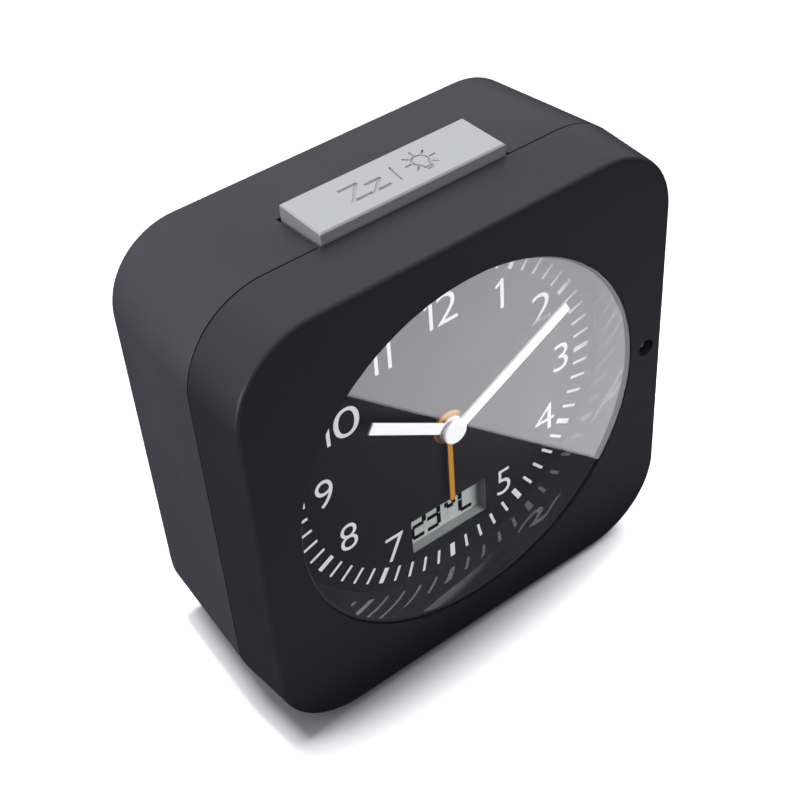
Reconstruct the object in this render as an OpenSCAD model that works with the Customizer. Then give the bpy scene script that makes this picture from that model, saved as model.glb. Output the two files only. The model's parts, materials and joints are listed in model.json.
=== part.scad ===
// Square quartz alarm clock with a round dial, a small thermometer display and a snooze button.
// Lengths are in millimetres, +Z is up, the dial faces -Y, and the origin lies under the middle
// of the clock on the surface that it stands on.

/* [Casing] */
// Width and height of the casing at the seam, its widest line
case_w = 100; // [98:1:125]
// Free depth between the main board and the battery bay, which sets the casing's depth
bay_room = 7.7; // [4:0.1:20]
// Depth of the front shell, from the front face to the seam
front_depth = 13.9; // [13.2:0.1:16]
// Corner radius at the seam
corner_r = 17.6; // [14:0.2:19]
// Draft of the front shell's sides, in degrees
front_draft = 3.7; // [1:0.1:4.5]
// Draft of the rear shell's sides, in degrees
rear_draft = 4.3; // [1:0.1:4.5]
// Thickness of the side walls
wall = 2.2; // [1.8:0.1:2.6]
// Thickness of the front plate around the lens
face_t = 2.4; // [2:0.1:3]
// Thickness of the rear plate
rear_t = 2.2; // [1.8:0.1:3]
// Rounding of the front edge
front_round = 1; // [0.4:0.1:1.6]
// Rounding of the rear edge
rear_round = 1.6; // [0.4:0.1:1.8]
// Gap of the seam between the two shells
seam_gap = 0.3; // [0.1:0.05:0.5]
// Height of the soles under the foot pads
foot_h = 0.6; // [0.5:0.1:2]

/* [Dial and lens] */
// Radius of the lens
lens_r = 40.35; // [39:0.05:41]
// Thickness of the lens
lens_t = 1.6; // [1:0.1:2]
// Depth of the lens below the front face
lens_recess = 0.15; // [0:0.05:0.3]
// Depth of the dial below the front face
dial_depth = 10.1; // [9:0.1:11]
// Thickness of the dial
dial_t = 0.8; // [0.5:0.1:1]
// Inner radius of the glossy ring at the dial
ring_r = 38.6; // [37.5:0.1:39]
// Width of the display window in the dial
window_w = 20; // [16:0.5:22]
// Height of the display window in the dial
window_h = 10; // [8:0.5:11]
// Distance from the hands' axis down to the middle of the display window
window_drop = 25.6; // [25:0.2:27]

/* [Hands] */
// Length of the minute hand
minute_l = 32.8; // [26:0.2:36]
// Length of the hour hand
hour_l = 21.8; // [16:0.2:26]
// Length of the alarm hand
alarm_l = 20; // [14:0.5:26]
// Time shown by the minute hand, in degrees clockwise from twelve
minute_angle = 62; // [0:1:359]
// Time shown by the hour hand, in degrees clockwise from twelve
hour_angle = 301.3; // [0:0.1:359]
// Time set on the alarm hand, in degrees clockwise from twelve
alarm_angle = 180; // [0:1:359]
// Thickness of the stamped hands
hand_t = 0.5; // [0.3:0.05:0.6]
// Free height between one hand and the next
hand_gap = 0.4; // [0.3:0.05:0.6]

/* [Button] */
// Width of the snooze button
button_w = 41; // [34:0.5:43]
// Depth of the snooze button, front to rear
button_d = 12.2; // [11:0.2:14]
// Rise of the snooze button above the seam line
button_rise = 2.3; // [1.6:0.1:3]
// Travel of the snooze button
button_travel = 1.2; // [0.6:0.1:1.4]
// Gap around the snooze button
button_gap = 0.6; // [0.3:0.05:0.8]

/* [Movement] */
// Module of the gear teeth
gear_m = 0.5; // [0.45:0.01:0.52]
// Thickness of the gear wheels
wheel_t = 1; // [0.7:0.1:1.2]
// Room between the alarm's setting wheel and the movement's side wall
movement_room = 1; // [0.4:0.1:3]
// Thickness of the movement, front to rear
movement_t = 14; // [13:0.5:15]
// Radius of the rear setting knobs
knob_r = 6; // [4.5:0.1:6.5]

/* [Hidden] */

$fn = 64;

// Overrun of every cut past the face that it opens
over = 0.5;
// Running clearance between a shaft and its bearing
run = 0.05;
// Clearance between fixed pieces that slip together
slip = 0.15;

// Stack from the dial to the rear face: display, main board, free room, battery bay and door.
// Places in depth are measured backwards from the front face, heights from the lens centre.
lcd_set_back = 3.1;
lcd_front = dial_depth + lcd_set_back;
lcd_glass_t = 2.2;
connector_t = 1.3;
board_front = lcd_front + lcd_glass_t + connector_t;
board_t = 1.2;
board_back = board_front + board_t;
bay_wall = 1.3;
floor_play = 0.4;
cell_r = 7.1;
door_play = 0.5;
door_t = 1.8;
door_sink = 0.2;
bay_front = board_back + bay_room + bay_wall;
cell_depth = bay_front + floor_play + cell_r;
door_front = cell_depth + cell_r + door_play;
door_back = door_front + door_t;
case_depth = door_back + door_sink;

centre_z = case_w / 2 + foot_h;
corner_c = case_w / 2 - corner_r;
seam_front = front_depth - seam_gap / 2;
seam_rear = front_depth + seam_gap / 2;
rear_inner = case_depth - rear_t;
face_half = case_w / 2 - front_depth * tan(front_draft);

// Tongue on the front shell that enters the rear shell
tongue_t = 0.9;
tongue_l = 1.5;

// Bosses and screws that hold the two shells together
boss_share = 0.32;
boss_at = corner_c + corner_r * boss_share;
boss_r = 3.6;
boss_floor = 3;
case_screw_r = 1.25;
case_screw_l = 10.8;
case_head_r = 2.5;
case_head_t = 1.8;
counterbore_r = 2.9;
pilot_gap = 0.05;

// Moulded foot pads and the soles stuck to them
pad_r = 4;
sole_r = 3.4;
foot_x = corner_c;
foot_front = front_depth * 0.55;
foot_rear = case_depth - wall - pad_r - rear_round;
foot_sink = wall * 0.7;

// Light sensor in the middle of the front plate's right margin
lens_gap = 0.1;
sensor_x = (lens_r + lens_gap + face_half) / 2;
sensor_hole_r = 1.9;
sensor_r = 1.45;
sensor_l = 4.2;
sensor_lip = 1;
sensor_back = face_t + sensor_l;
sensor_tube_t = 0.75;

// Glossy ring between the lens and the dial
ring_rim = 0.25;
ring_wall = 1.4;
flange_w = 1.9;
flange_r = lens_r + flange_w;
flange_t = 1.2;

// Carrier behind the dial, screwed to four bosses of the front shell
dial_r = ring_r + ring_wall;
dial_hole_gap = 0.3;
carrier_margin = 1.4;
carrier_r = dial_r + carrier_margin;
carrier_t = 1.6;
carrier_front = dial_depth + dial_t;
carrier_back = carrier_front + carrier_t;
carrier_boss_r = 2.5;
carrier_boss_at = (flange_r + carrier_boss_r + slip) / sqrt(2);
carrier_ear_r = 3.2;
board_post_r = 2.2;
board_post_x = 24;
board_post_y = -30.5;

// Small screws of the carrier, board, movement and button bracket
small_screw_r = 0.9;
small_screw_l = 4.6;
small_head_r = 1.8;
small_head_t = 1.3;
small_slot = 0.4;

// Display behind the dial's window
lcd_margin = 2;
lcd_frame_wall = 2.6;
lcd_shelf = 1.2;
connector_h = 1.6;
board_w = 58;
board_margin = 0.2;
board_top = window_drop - window_h / 2 - lcd_margin - board_margin;
board_bottom = 43.5;
bead_r = 1.1;
lead_r = 0.25;
bead_drop = 5;

// Hands, from the dial outwards
alarm_lift = 0.6;
hour_lift = alarm_lift + hand_t + hand_gap;
minute_lift = hour_lift + hand_t + hand_gap;
cap_r = 2.8;
cap_t = 0.9;
cap_round = 0.5;
alarm_hub_r = 3.75;
hour_hub_r = 2.9;
alarm_blade = 1.3;
hour_blade = 2.5;
minute_blade = 2.4;

// Arbor, pipes and bush on the hands' axis, from the inside out
arbor_r = 0.75;
pipe_t = 0.55;
hour_bore = arbor_r + run;
hour_pipe_r = hour_bore + pipe_t;
alarm_bore = hour_pipe_r + run;
alarm_pipe_r = alarm_bore + pipe_t;
bush_bore = alarm_pipe_r + run;
bush_t = 0.8;
bush_r = bush_bore + bush_t;
bush_rise = 0.1;
bush_front = dial_depth - bush_rise;
pivot_r = 0.5;

// Movement: its plates, its planes of wheels and its teeth
plate_t = 1.2;
side_t = 1.2;
plane_gap = 0.3;
movement_front = carrier_back;
movement_back = movement_front + movement_t;
movement_split = movement_front + movement_t / 2;
alarm_plane = movement_front + plate_t + plane_gap;
hour_plane = alarm_plane + wheel_t + plane_gap;
minute_plane = hour_plane + wheel_t + plane_gap;
movement_down = 17;
movement_up = 27;
movement_corner = 4;
ear_r = 3.2;
ear_t = 2.6;
ear_y = 5;

pressure_angle = 25;
addendum_share = 0.8;
dedendum_share = 1.05;
backlash = 0.07;
flank_steps = 3;

cannon_teeth = 12;
minute_teeth = 36;
minute_pinion_teeth = 10;
hour_teeth = 40;
time_teeth = 12;
alarm_teeth = 40;
alarm_set_teeth = 28;

// The hour pair spans the same centres as the minute pair, so its module follows
motion_span = gear_m * (cannon_teeth + minute_teeth) / 2;
hour_m = 2 * motion_span / (minute_pinion_teeth + hour_teeth);
time_span = gear_m * (minute_teeth + time_teeth) / 2;
alarm_span = gear_m * (alarm_teeth + alarm_set_teeth) / 2;

// Directions between the axes, in degrees anticlockwise from the right, seen from the front
minute_dir = 200;
time_dir = 110;
alarm_dir = 25;
minute_axis = motion_span * [cos(minute_dir), sin(minute_dir)];
time_axis = minute_axis + time_span * [cos(time_dir), sin(time_dir)];
alarm_axis = alarm_span * [cos(alarm_dir), sin(alarm_dir)];
alarm_set_r = gear_m * (alarm_set_teeth / 2 + addendum_share);
movement_w = 2 * (alarm_axis[0] + alarm_set_r + movement_room + side_t);

minute_phase = mesh_phase(0, cannon_teeth, minute_teeth, minute_dir);
time_phase = mesh_phase(minute_phase, minute_teeth, time_teeth, time_dir);
hour_phase = mesh_phase(0, minute_pinion_teeth, hour_teeth, minute_dir + 180);
alarm_set_phase = mesh_phase(0, alarm_teeth, alarm_set_teeth, alarm_dir);

wheel_hub_r = 1.5;
wheel_post_r = 0.6;

// Middle plate between the motion work and the going train, and the posts that carry it
middle_t = 0.6;
middle_front = minute_plane + wheel_t + plane_gap;
middle_back = middle_front + middle_t;
middle_post_r = 1.5;
middle_post_x = movement_w / 2 - side_t - 2 * middle_post_r;
middle_post_y = movement_down - side_t - 2 * middle_post_r;

// Coil, core and stator of the stepping motor
coil_l = 19;
coil_r = 3.2;
bobbin_t = 0.8;
coil_y = 20.8;
core_w = 2.4;
core_t = 1.4;
stator_t = 0.8;
stator_front = middle_back;
stator_back = stator_front + stator_t;
lug_r = 1.9;
lug_x = coil_l / 2 + lug_r + slip;
lug_pin_r = 0.7;
rotor_y_share = 23;
rotor_y = gear_m * rotor_y_share;
rotor_hole_r = 2.6;
stator_waist = 3.6;
stator_split = 0.4;
core_mid = stator_back + core_t / 2;

// Going train from the rotor to the centre wheel: 6, 5, 7.5 and 8 to one, so that half a turn
// of the rotor each second brings the centre wheel round once an hour
rotor_teeth = 10;
step_teeth = 60;
step_pinion_teeth = 12;
second_teeth = 60;
second_pinion_teeth = 10;
third_teeth = 75;
third_pinion_teeth = 10;
centre_teeth = 80;
train_m_share = 0.4;
second_m_share = 0.44;
train_m = gear_m * train_m_share;
second_m = gear_m * second_m_share;
train_steps = 2;
step_dir = 195;
second_dir = 255;
step_span = train_m * (rotor_teeth + step_teeth) / 2;
second_span = second_m * (step_pinion_teeth + second_teeth) / 2;
third_span = train_m * (second_pinion_teeth + third_teeth) / 2;
centre_span = train_m * (third_pinion_teeth + centre_teeth) / 2;
rotor_axis = [0, rotor_y];
step_axis = rotor_axis + step_span * [cos(step_dir), sin(step_dir)];
second_axis = step_axis + second_span * [cos(second_dir), sin(second_dir)];

// The third wheel stands where its span from the second wheel meets that from the hands' axis
second_reach = norm(second_axis);
third_turn = acos((pow(centre_span, 2) + pow(second_reach, 2) - pow(third_span, 2))
    / (2 * centre_span * second_reach));
third_at = atan2(second_axis[1], second_axis[0]) + third_turn;
third_axis = centre_span * [cos(third_at), sin(third_at)];
third_dir = atan2(third_axis[1] - second_axis[1], third_axis[0] - second_axis[0]);

step_phase = mesh_phase(0, rotor_teeth, step_teeth, step_dir);
second_phase = mesh_phase(0, step_pinion_teeth, second_teeth, second_dir);
third_phase = mesh_phase(0, second_pinion_teeth, third_teeth, third_dir);
centre_phase = mesh_phase(0, third_pinion_teeth, centre_teeth, third_at + 180);

train_t = 0.6;
pinion_over = 0.15;
centre_plane = stator_back + plane_gap;
step_plane = centre_plane + train_t + plane_gap;
second_plane = step_plane + train_t + plane_gap;
third_plane = second_plane + train_t + plane_gap;
train_arbor_r = 0.35;
train_pivot_r = 0.25;
train_hole_r = 0.8;
magnet_r = 2;
magnet_t = 1.3;
magnet_front = middle_back + 2 * run;
clutch_r = 1.4;
clutch_t = 0.6;

// Setting shafts and the knobs in their wells
set_shaft_r = 1.2;
knob_t = 5;
knob_sink = 0.4;
knob_lift = 0.5;
knob_back = case_depth - knob_sink;
knob_front = knob_back - knob_t;
knob_flutes = 18;
flute_r = 0.5;
well_room = 2.4;
well_r = knob_r + well_room;
well_floor = knob_front - knob_lift;
well_wall = 1.4;

// Snooze button, its bracket, board and dome
button_wall = 1.4;
button_top_t = 1.8;
button_edge = 0.35;
button_front = seam_rear;
button_back = button_front + button_d;
button_top = case_w / 2 + button_rise;
lip_w = 1.6;
lip_t = 1;
lip_rest = 0.15;
lip_back = button_back + button_gap + lip_w;
lip_gap = 0.4;
lip_front = seam_front + tongue_l + lip_gap;
under_wall = case_w / 2 - (lip_back - front_depth) * tan(rear_draft) - wall / cos(rear_draft);
lip_top = under_wall - lip_rest;
lip_bottom = lip_top - lip_t;
guide_x = button_w * 0.34;
guide_r = 1.5;
guide_over = 0.6;
plunger_r = 3;
bracket_t = 1.5;
board_rest = 1;
dome_h = 3;
dome_r = 4;
dome_t = 0.6;
bracket_top = lip_bottom - dome_h - board_rest;
dome_base = bracket_top + board_rest;
dome_top = dome_base + dome_h;
plunger_gap = 0.05;
bracket_bottom = bracket_top - bracket_t;
bracket_post_r = 2.5;
bracket_post_gap = 0.5;
bracket_x = button_w / 2 + button_gap + lip_w + bracket_post_r + bracket_post_gap;
bracket_depth = (button_front + lip_back) / 2;
bracket_d = 11;

// Alarm slider in the rear plate and its switch
slider_y = 27;
slider_travel = 4;
slider_w = 4;
slider_h = 4.4;
slider_flange_w = 14;
slider_flange_h = 7;
slider_flange_t = 1;
slider_gap = 0.2;
slider_sink = 0.3;
stem_w = 1.6;
switch_w = 11;
switch_h = 5;
switch_t = 4.5;
switch_wall = 0.6;
switch_set_back = 1.2;
switch_tab_t = 0.8;
cradle_w = 9;
cradle_t = 1.2;

// Buzzer and its sound holes
buzzer_x = -24;
buzzer_y = 29;
buzzer_r = 9;
buzzer_t = 6.5;
buzzer_collar = 1.2;
sound_hole_r = 0.9;
sound_ring_r = 4.2;
sound_holes = 8;

// Battery bay, its cell, contacts and door
cell_l = 49.2;
nub_r = 2.7;
nub_l = 1.2;
contact_t = 0.4;
spring_room = 2.6;
bay_l = cell_l + nub_l + spring_room + 2 * contact_t + slip;
bay_play = 1.2;
bay_h = 2 * cell_r + bay_play;
bay_y = -31;
door_lap = 1.6;
door_gap = 0.25;
door_w = bay_l + 2 * door_lap;
door_h = bay_h + 2 * door_lap;
hinge_r = door_t / 2;
hinge_pin_r = 0.6;
hinge_pin_l = 1.2;
hinge_y = bay_y - door_h / 2 + hinge_r;
hinge_depth = door_back - hinge_r;

// Finger notch above the door, the door's catch and its grip grooves
notch_w = 13;
notch_h = 3;
notch_t = 1.3;
catch_w = 9;
catch_t = 1;
catch_l = 2.4;
catch_gap = 0.5;
groove_w = 12;
groove_h = 0.7;
groove_t = 0.4;
groove_pitch = 1.7;
grooves = 4;

// Coil of the spring contact
wire_r = 0.35;
spring_turns = 3;
spring_base_r = 4.2;
spring_end_r = 2.4;

// A gear's tooth outline: half its angular width at radius r, in degrees
function involute(a) = tan(a) * 180 / PI - a;
function half_tooth(r, m, n) =
    let (rp = m * n / 2, rb = rp * cos(pressure_angle))
    90 / n - backlash / rp * 90 / PI + involute(pressure_angle)
        - involute(acos(min(1, rb / max(r, rb))));

// Outline of a spur gear with a tooth centred on the X axis
function gear_points(m, n, steps = flank_steps) =
    let (
        rp = m * n / 2,
        rb = rp * cos(pressure_angle),
        root = rp - dedendum_share * m,
        tip = rp + addendum_share * m,
        start = max(root, rb),
        flank = [for (i = [0 : steps]) start + (tip - start) * i / steps],
        foot = half_tooth(start, m, n)
    )
    [for (k = [0 : n - 1])
        let (mid = 360 * k / n)
        each concat(
            root < start ? [polar(root, mid - foot)] : [],
            [for (r = flank) polar(r, mid - half_tooth(r, m, n))],
            [for (i = [steps : -1 : 0]) polar(flank[i], mid + half_tooth(flank[i], m, n))],
            root < start ? [polar(root, mid + foot)] : []
        )];

function polar(r, a) = [r * cos(a), r * sin(a)];

// Turn that brings a gear of n2 teeth into mesh with one of n1 teeth turned by phase,
// when the second axis lies in direction dir from the first
function mesh_phase(phase, n1, n2, dir) = dir + 180 + 180 / n2 - (phase - dir) * n1 / n2;

// Profile of a drafted block, as distance out from the corner centres against depth. The wall
// is r_seam wide at depth seam and narrows to depth end, where its edge is rounded.
function drafted(seam, end, r_seam, draft, edge, steps = 5) =
    let (
        side = end < seam ? -1 : 1,
        r_end = r_seam - abs(end - seam) * tan(draft),
        cx = r_end - edge * (1 - sin(draft)) / cos(draft),
        cz = end - side * edge
    )
    concat(
        [[0, seam], [r_seam, seam]],
        edge > 0
            ? [for (i = [0 : steps])
                let (a = draft + (90 - draft) * i / steps)
                [cx + edge * cos(a), cz + side * edge * sin(a)]]
            : [[r_end, end]],
        [[0, end]]
    );

// From here each shape is drawn as seen from the front: X to the right, Y up from the hands'
// axis and Z backwards from the front face
module placed() {
    translate([0, -case_depth / 2, centre_z])
        rotate([90, 0, 0])
            mirror([0, 0, 1])
                children();
}

// Block with round corners, swept from a profile round the square of the corner centres
module swept_block(profile, c = corner_c) {
    for (k = [0 : 3])
        rotate(90 * k)
            translate([c, c, 0])
                rotate_extrude(angle = 90)
                    polygon(profile);
    for (k = [0, 1])
        rotate(90 * k)
            rotate([90, 0, 0])
                linear_extrude(2 * c, center = true)
                    polygon(concat(
                        [for (p = profile) if (p[0] > 0) [p[0] + c, p[1]]],
                        [for (i = [len(profile) - 1 : -1 : 0]) let (p = profile[i])
                            if (p[0] > 0) [-p[0] - c, p[1]]]
                    ));
}

module at_corners(d) {
    for (sx = [-1, 1], sy = [-1, 1])
        translate([sx * d, sy * d, 0])
            children();
}

module disc(r, z0, z1) {
    translate([0, 0, z0])
        cylinder(r = r, h = z1 - z0);
}

module slab(x, y, z0, z1) {
    translate([-x / 2, -y / 2, z0])
        cube([x, y, z1 - z0]);
}

// Upright bar between two heights, centred on an axis that runs up through depth d
module upright(r, d, y0, y1) {
    translate([0, y0, d])
        rotate([-90, 0, 0])
            cylinder(r = r, h = y1 - y0);
}

module gear(m, n, z0, phase = 0, t = wheel_t, steps = flank_steps) {
    translate([0, 0, z0])
        rotate(phase)
            linear_extrude(t)
                polygon(gear_points(m, n, steps));
}

// Screw with a pan head and a cross slot: its head lies between depth z and z + head_t
module screw(r, l, head_r, head_t) {
    disc(r, -l, 0);
    difference() {
        disc(head_r, 0, head_t);
        for (a = [0, 90])
            rotate(a)
                slab(head_r * 1.3, small_slot, head_t / 2, head_t + over);
    }
}

module foot_places() {
    for (sx = [-1, 1], d = [foot_front, foot_rear])
        translate([sx * foot_x, 0, d])
            children();
}

// Front shell: drafted walls, front plate, tongue, bosses and foot pads
module front_case() {
    outer_r = corner_r;
    color("#1d1c20")
        placed()
            difference() {
                union() {
                    difference() {
                        swept_block(drafted(seam_front, 0, outer_r, front_draft, front_round));
                        swept_block(drafted(seam_front + over, face_t, outer_r - wall,
                            front_draft, 0));
                    }
                    front_tongue();
                    intersection() {
                        at_corners(boss_at)
                            disc(boss_r, face_t / 2, front_depth);
                        swept_block(drafted(front_depth, 0, outer_r - wall / 2, front_draft, 0));
                    }
                    at_corners(carrier_boss_at)
                        disc(carrier_boss_r, face_t / 2, carrier_front);
                    translate([sensor_x, 0, 0])
                        disc(sensor_r + slip / 2 + sensor_tube_t, face_t / 2, sensor_back);
                    for (sx = [-1, 1])
                        translate([sx * foot_x, 0, 0])
                            upright(pad_r, foot_front, -case_w / 2, -case_w / 2 + wall + foot_sink);
                }
                disc(lens_r + lens_gap, -over, face_t + over);
                translate([sensor_x, 0, 0]) {
                    disc(sensor_hole_r, -over, sensor_lip);
                    disc(sensor_r + slip / 2, 0, sensor_back + over);
                }
                at_corners(boss_at)
                    disc(case_screw_r + pilot_gap, face_t, front_depth + over);
                at_corners(carrier_boss_at)
                    disc(small_screw_r + pilot_gap, carrier_front - small_screw_l, carrier_front + over);
                translate([-button_w / 2 - button_gap - lip_w, 0, seam_front])
                    cube([button_w + 2 * (button_gap + lip_w), case_w, tongue_l + over]);
            }
}

// Thin tongue inside the seam, which keeps the two shells in line
module front_tongue() {
    tongue_r = corner_r - wall + tongue_t;
    difference() {
        swept_block([[0, seam_front - wall], [tongue_r, seam_front - wall],
            [tongue_r, seam_front + tongue_l], [0, seam_front + tongue_l]]);
        swept_block([[0, seam_front - 2 * wall], [tongue_r - tongue_t, seam_front - 2 * wall],
            [tongue_r - tongue_t, seam_front + tongue_l + over],
            [0, seam_front + tongue_l + over]]);
    }
}

// Rear shell: drafted walls, rear plate, bosses, knob wells, battery bay and the button's notch
module rear_case() {
    rebate_r = corner_r - wall + tongue_t + slip;
    color("#1d1c20")
        placed()
            difference() {
                union() {
                    difference() {
                        swept_block(drafted(seam_rear, case_depth, corner_r, rear_draft,
                            rear_round));
                        swept_block(drafted(seam_rear - over, rear_inner, corner_r - wall,
                            rear_draft, 0));
                        swept_block([[0, seam_rear - over], [rebate_r, seam_rear - over],
                            [rebate_r, seam_front + tongue_l + slip],
                            [0, seam_front + tongue_l + slip]]);
                    }
                    intersection() {
                        at_corners(boss_at)
                            disc(boss_r + wall / 2, front_depth, case_depth - rear_t / 2);
                        swept_block(drafted(front_depth, case_depth, rebate_r - slip - tongue_t,
                            rear_draft, 0));
                    }
                    for (p = [time_axis, alarm_axis])
                        translate([p[0], p[1], 0])
                            disc(well_r + well_wall, well_floor - well_wall, rear_inner + rear_t / 2);
                    translate([0, bay_y, 0])
                        slab(door_w + 2 * (hinge_pin_l + bay_wall), door_h + 2 * bay_wall,
                            bay_front - bay_wall, rear_inner + rear_t / 2);
                    translate([buzzer_x, buzzer_y, 0])
                        disc(buzzer_r + slip + buzzer_collar, rear_inner - buzzer_t * 0.6,
                            rear_inner + rear_t / 2);
                    for (sy = [-1, 1])
                        translate([0, slider_y + sy * cradle_y(), 0])
                            slab(cradle_w, cradle_t, switch_front(), rear_inner + rear_t / 2);
                    for (sx = [-1, 1])
                        translate([sx * bracket_x, 0, 0])
                            upright(bracket_post_r, bracket_depth, bracket_top,
                                under_wall + wall / 2);
                    for (sx = [-1, 1])
                        translate([sx * foot_x, 0, 0])
                            upright(pad_r, foot_rear, -case_w / 2,
                                -case_w / 2 + wall + foot_sink + (foot_rear - front_depth)
                                    * tan(rear_draft));
                }
                rear_case_cuts();
            }
}

module rear_case_cuts() {
    at_corners(boss_at) {
        disc(case_screw_r + 2 * slip, front_depth - over, case_depth + over);
        disc(counterbore_r, front_depth + boss_floor, case_depth + over);
    }
    for (p = [time_axis, alarm_axis])
        translate([p[0], p[1], 0]) {
            disc(well_r, well_floor, case_depth + over);
            disc(set_shaft_r + slip, well_floor - well_wall - over, well_floor + over);
        }
    translate([0, bay_y, 0]) {
        slab(bay_l, bay_h, bay_front, case_depth + over);
        slab(door_w + 2 * door_gap, door_h + 2 * door_gap, door_front - slip, case_depth + over);
        translate([0, door_h / 2 + door_gap, 0])
            slab(notch_w, 2 * notch_h, case_depth - notch_t, case_depth + over);
    }
    translate([0, hinge_y, hinge_depth])
        rotate([0, 90, 0])
            cylinder(r = hinge_pin_r + run, h = door_w + 2 * (hinge_pin_l + slip), center = true);
    translate([buzzer_x, buzzer_y, 0]) {
        disc(buzzer_r + slip, rear_inner - buzzer_t, rear_inner);
        disc(sound_hole_r, rear_inner - over, case_depth + over);
        for (i = [0 : sound_holes - 1])
            rotate(360 * i / sound_holes)
                translate([sound_ring_r, 0, 0])
                    disc(sound_hole_r, rear_inner - over, case_depth + over);
    }
    translate([0, slider_y, 0])
        slab(slider_w + slider_travel + 2 * slider_gap, slider_h + 2 * slider_gap,
            rear_inner - over, case_depth + over);
    translate([-button_w / 2 - button_gap, under_wall - over, front_depth - over])
        cube([button_w + 2 * button_gap, case_w, button_back + button_gap - front_depth + over]);
    for (sx = [-1, 1])
        translate([sx * bracket_x, 0, 0])
            upright(small_screw_r + pilot_gap, bracket_depth, bracket_top - over,
                bracket_bottom + small_screw_l);
}

// Four screws that hold the shells together from the rear
module case_screws() {
    color("silver")
        placed()
            at_corners(boss_at)
                translate([0, 0, front_depth + boss_floor])
                    screw(case_screw_r, case_screw_l, case_head_r, case_head_t);
}

// Four rubber soles under the foot pads
module feet() {
    color("#2a2a2a")
        placed()
            foot_places()
                upright(sole_r, 0, -case_w / 2 - foot_h, -case_w / 2);
}

// Flat clear lens, almost flush with the front face
module lens() {
    color("white", 0.2)
        placed()
            disc(lens_r, lens_recess, lens_recess + lens_t);
}

// Glossy ring that carries the lens and narrows to the dial
module dial_ring() {
    front = lens_recess + lens_t;
    color("#0c0c0e")
        placed()
            rotate_extrude($fn = 128)
                polygon([
                    [lens_r - ring_rim, front],
                    [lens_r, front],
                    [lens_r, face_t],
                    [flange_r, face_t],
                    [flange_r, face_t + flange_t],
                    [dial_r + slip, face_t + flange_t],
                    [dial_r + slip, dial_depth],
                    [ring_r, dial_depth]
                ]);
}

// Dial with its centre hole and the window of the display
module dial() {
    color("#242428")
        placed()
            difference() {
                disc(dial_r, dial_depth, dial_depth + dial_t);
                disc(bush_r + dial_hole_gap, dial_depth - over, dial_depth + dial_t + over);
                translate([0, -window_drop, 0])
                    slab(window_w, window_h, dial_depth - over, dial_depth + dial_t + over);
            }
}

// Inner frame behind the dial, which carries the movement, the display and the board
module dial_carrier() {
    color("#3a3a3e")
        placed()
            difference() {
                union() {
                    translate([0, 0, carrier_front])
                        linear_extrude(carrier_t)
                            carrier_plate();
                    for (sx = [-1, 1])
                        translate([sx * board_post_x, board_post_y, 0])
                            disc(board_post_r, carrier_back - carrier_t / 2, board_front);
                }
                for (sx = [-1, 1])
                    translate([sx * board_post_x, board_post_y, 0])
                        disc(small_screw_r + pilot_gap, board_front + board_t - small_screw_l,
                            board_front + over);
            }
}

// Outline of the inner frame: a disc with four ears, cut for the bush, display and screws
module carrier_plate() {
    ear_at = carrier_boss_at * sqrt(2);
    difference() {
        union() {
            circle(carrier_r);
            for (a = [45 : 90 : 315])
                rotate(a) {
                    translate([ear_at, 0])
                        circle(carrier_ear_r);
                    translate([dial_r / 2, -carrier_ear_r])
                        square([ear_at - dial_r / 2, 2 * carrier_ear_r]);
                }
        }
        circle(bush_r + slip);
        translate([0, -window_drop])
            square([lcd_frame_w() + slip, lcd_frame_h() + slip], center = true);
        for (sx = [-1, 1], sy = [-1, 1])
            translate([sx * carrier_boss_at, sy * carrier_boss_at])
                circle(small_screw_r + slip);
        for (sx = [-1, 1])
            translate([sx * ear_x(), ear_y])
                circle(small_screw_r + pilot_gap);
    }
}

function ear_x() = movement_w / 2 + ear_r * 0.75;

// Small screws of the carrier, the board, the movement and the button bracket
module inner_screws() {
    color("silver")
        placed() {
            at_corners(carrier_boss_at)
                translate([0, 0, carrier_back])
                    small_screw();
            for (sx = [-1, 1]) {
                translate([sx * board_post_x, board_post_y, board_front + board_t])
                    small_screw();
                translate([sx * ear_x(), ear_y, carrier_back + ear_t])
                    small_screw(ear_t + carrier_t - slip);
                translate([sx * bracket_x, bracket_bottom, bracket_depth])
                    rotate([90, 0, 0])
                        small_screw();
            }
        }
}

module small_screw(l = small_screw_l) {
    screw(small_screw_r, l, small_head_r, small_head_t);
}

function lcd_frame_w() = window_w + 2 * lcd_frame_wall;
function lcd_frame_h() = window_h + 2 * lcd_frame_wall;

// Frame between the dial's window and the display glass
module lcd_frame() {
    glass_w = window_w + 2 * lcd_margin;
    glass_h = window_h + 2 * lcd_margin;
    color("#8c918f")
        placed()
            translate([0, -window_drop, 0])
                difference() {
                    slab(lcd_frame_w(), lcd_frame_h(), carrier_front, lcd_front + lcd_shelf);
                    slab(window_w + slip, window_h + slip, carrier_front - over,
                        lcd_front + over);
                    slab(glass_w + slip, glass_h + slip, lcd_front,
                        lcd_front + lcd_shelf + over);
                }
}

// Display glass
module lcd_glass() {
    color("#8f9a90")
        placed()
            translate([0, -window_drop, 0])
                slab(window_w + 2 * lcd_margin, window_h + 2 * lcd_margin, lcd_front,
                    lcd_front + lcd_glass_t);
}

// Rubber strips that join the glass to the board
module lcd_connector() {
    strip_y = window_h / 2 + lcd_margin - connector_h / 2;
    color("#c9a8b0")
        placed()
            for (sy = [-1, 1])
                translate([0, -window_drop + sy * strip_y, 0])
                    slab(window_w + lcd_margin, connector_h, lcd_front + lcd_glass_t, board_front);
}

// Main board behind the display
module main_board() {
    color("#2f6b3a")
        placed()
            difference() {
                translate([-board_w / 2, -board_bottom, board_front])
                    cube([board_w, board_bottom - board_top, board_t]);
                for (sx = [-1, 1])
                    translate([sx * board_post_x, board_post_y, 0])
                        disc(small_screw_r + slip, board_front - over, board_front + board_t + over);
            }
}

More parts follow.
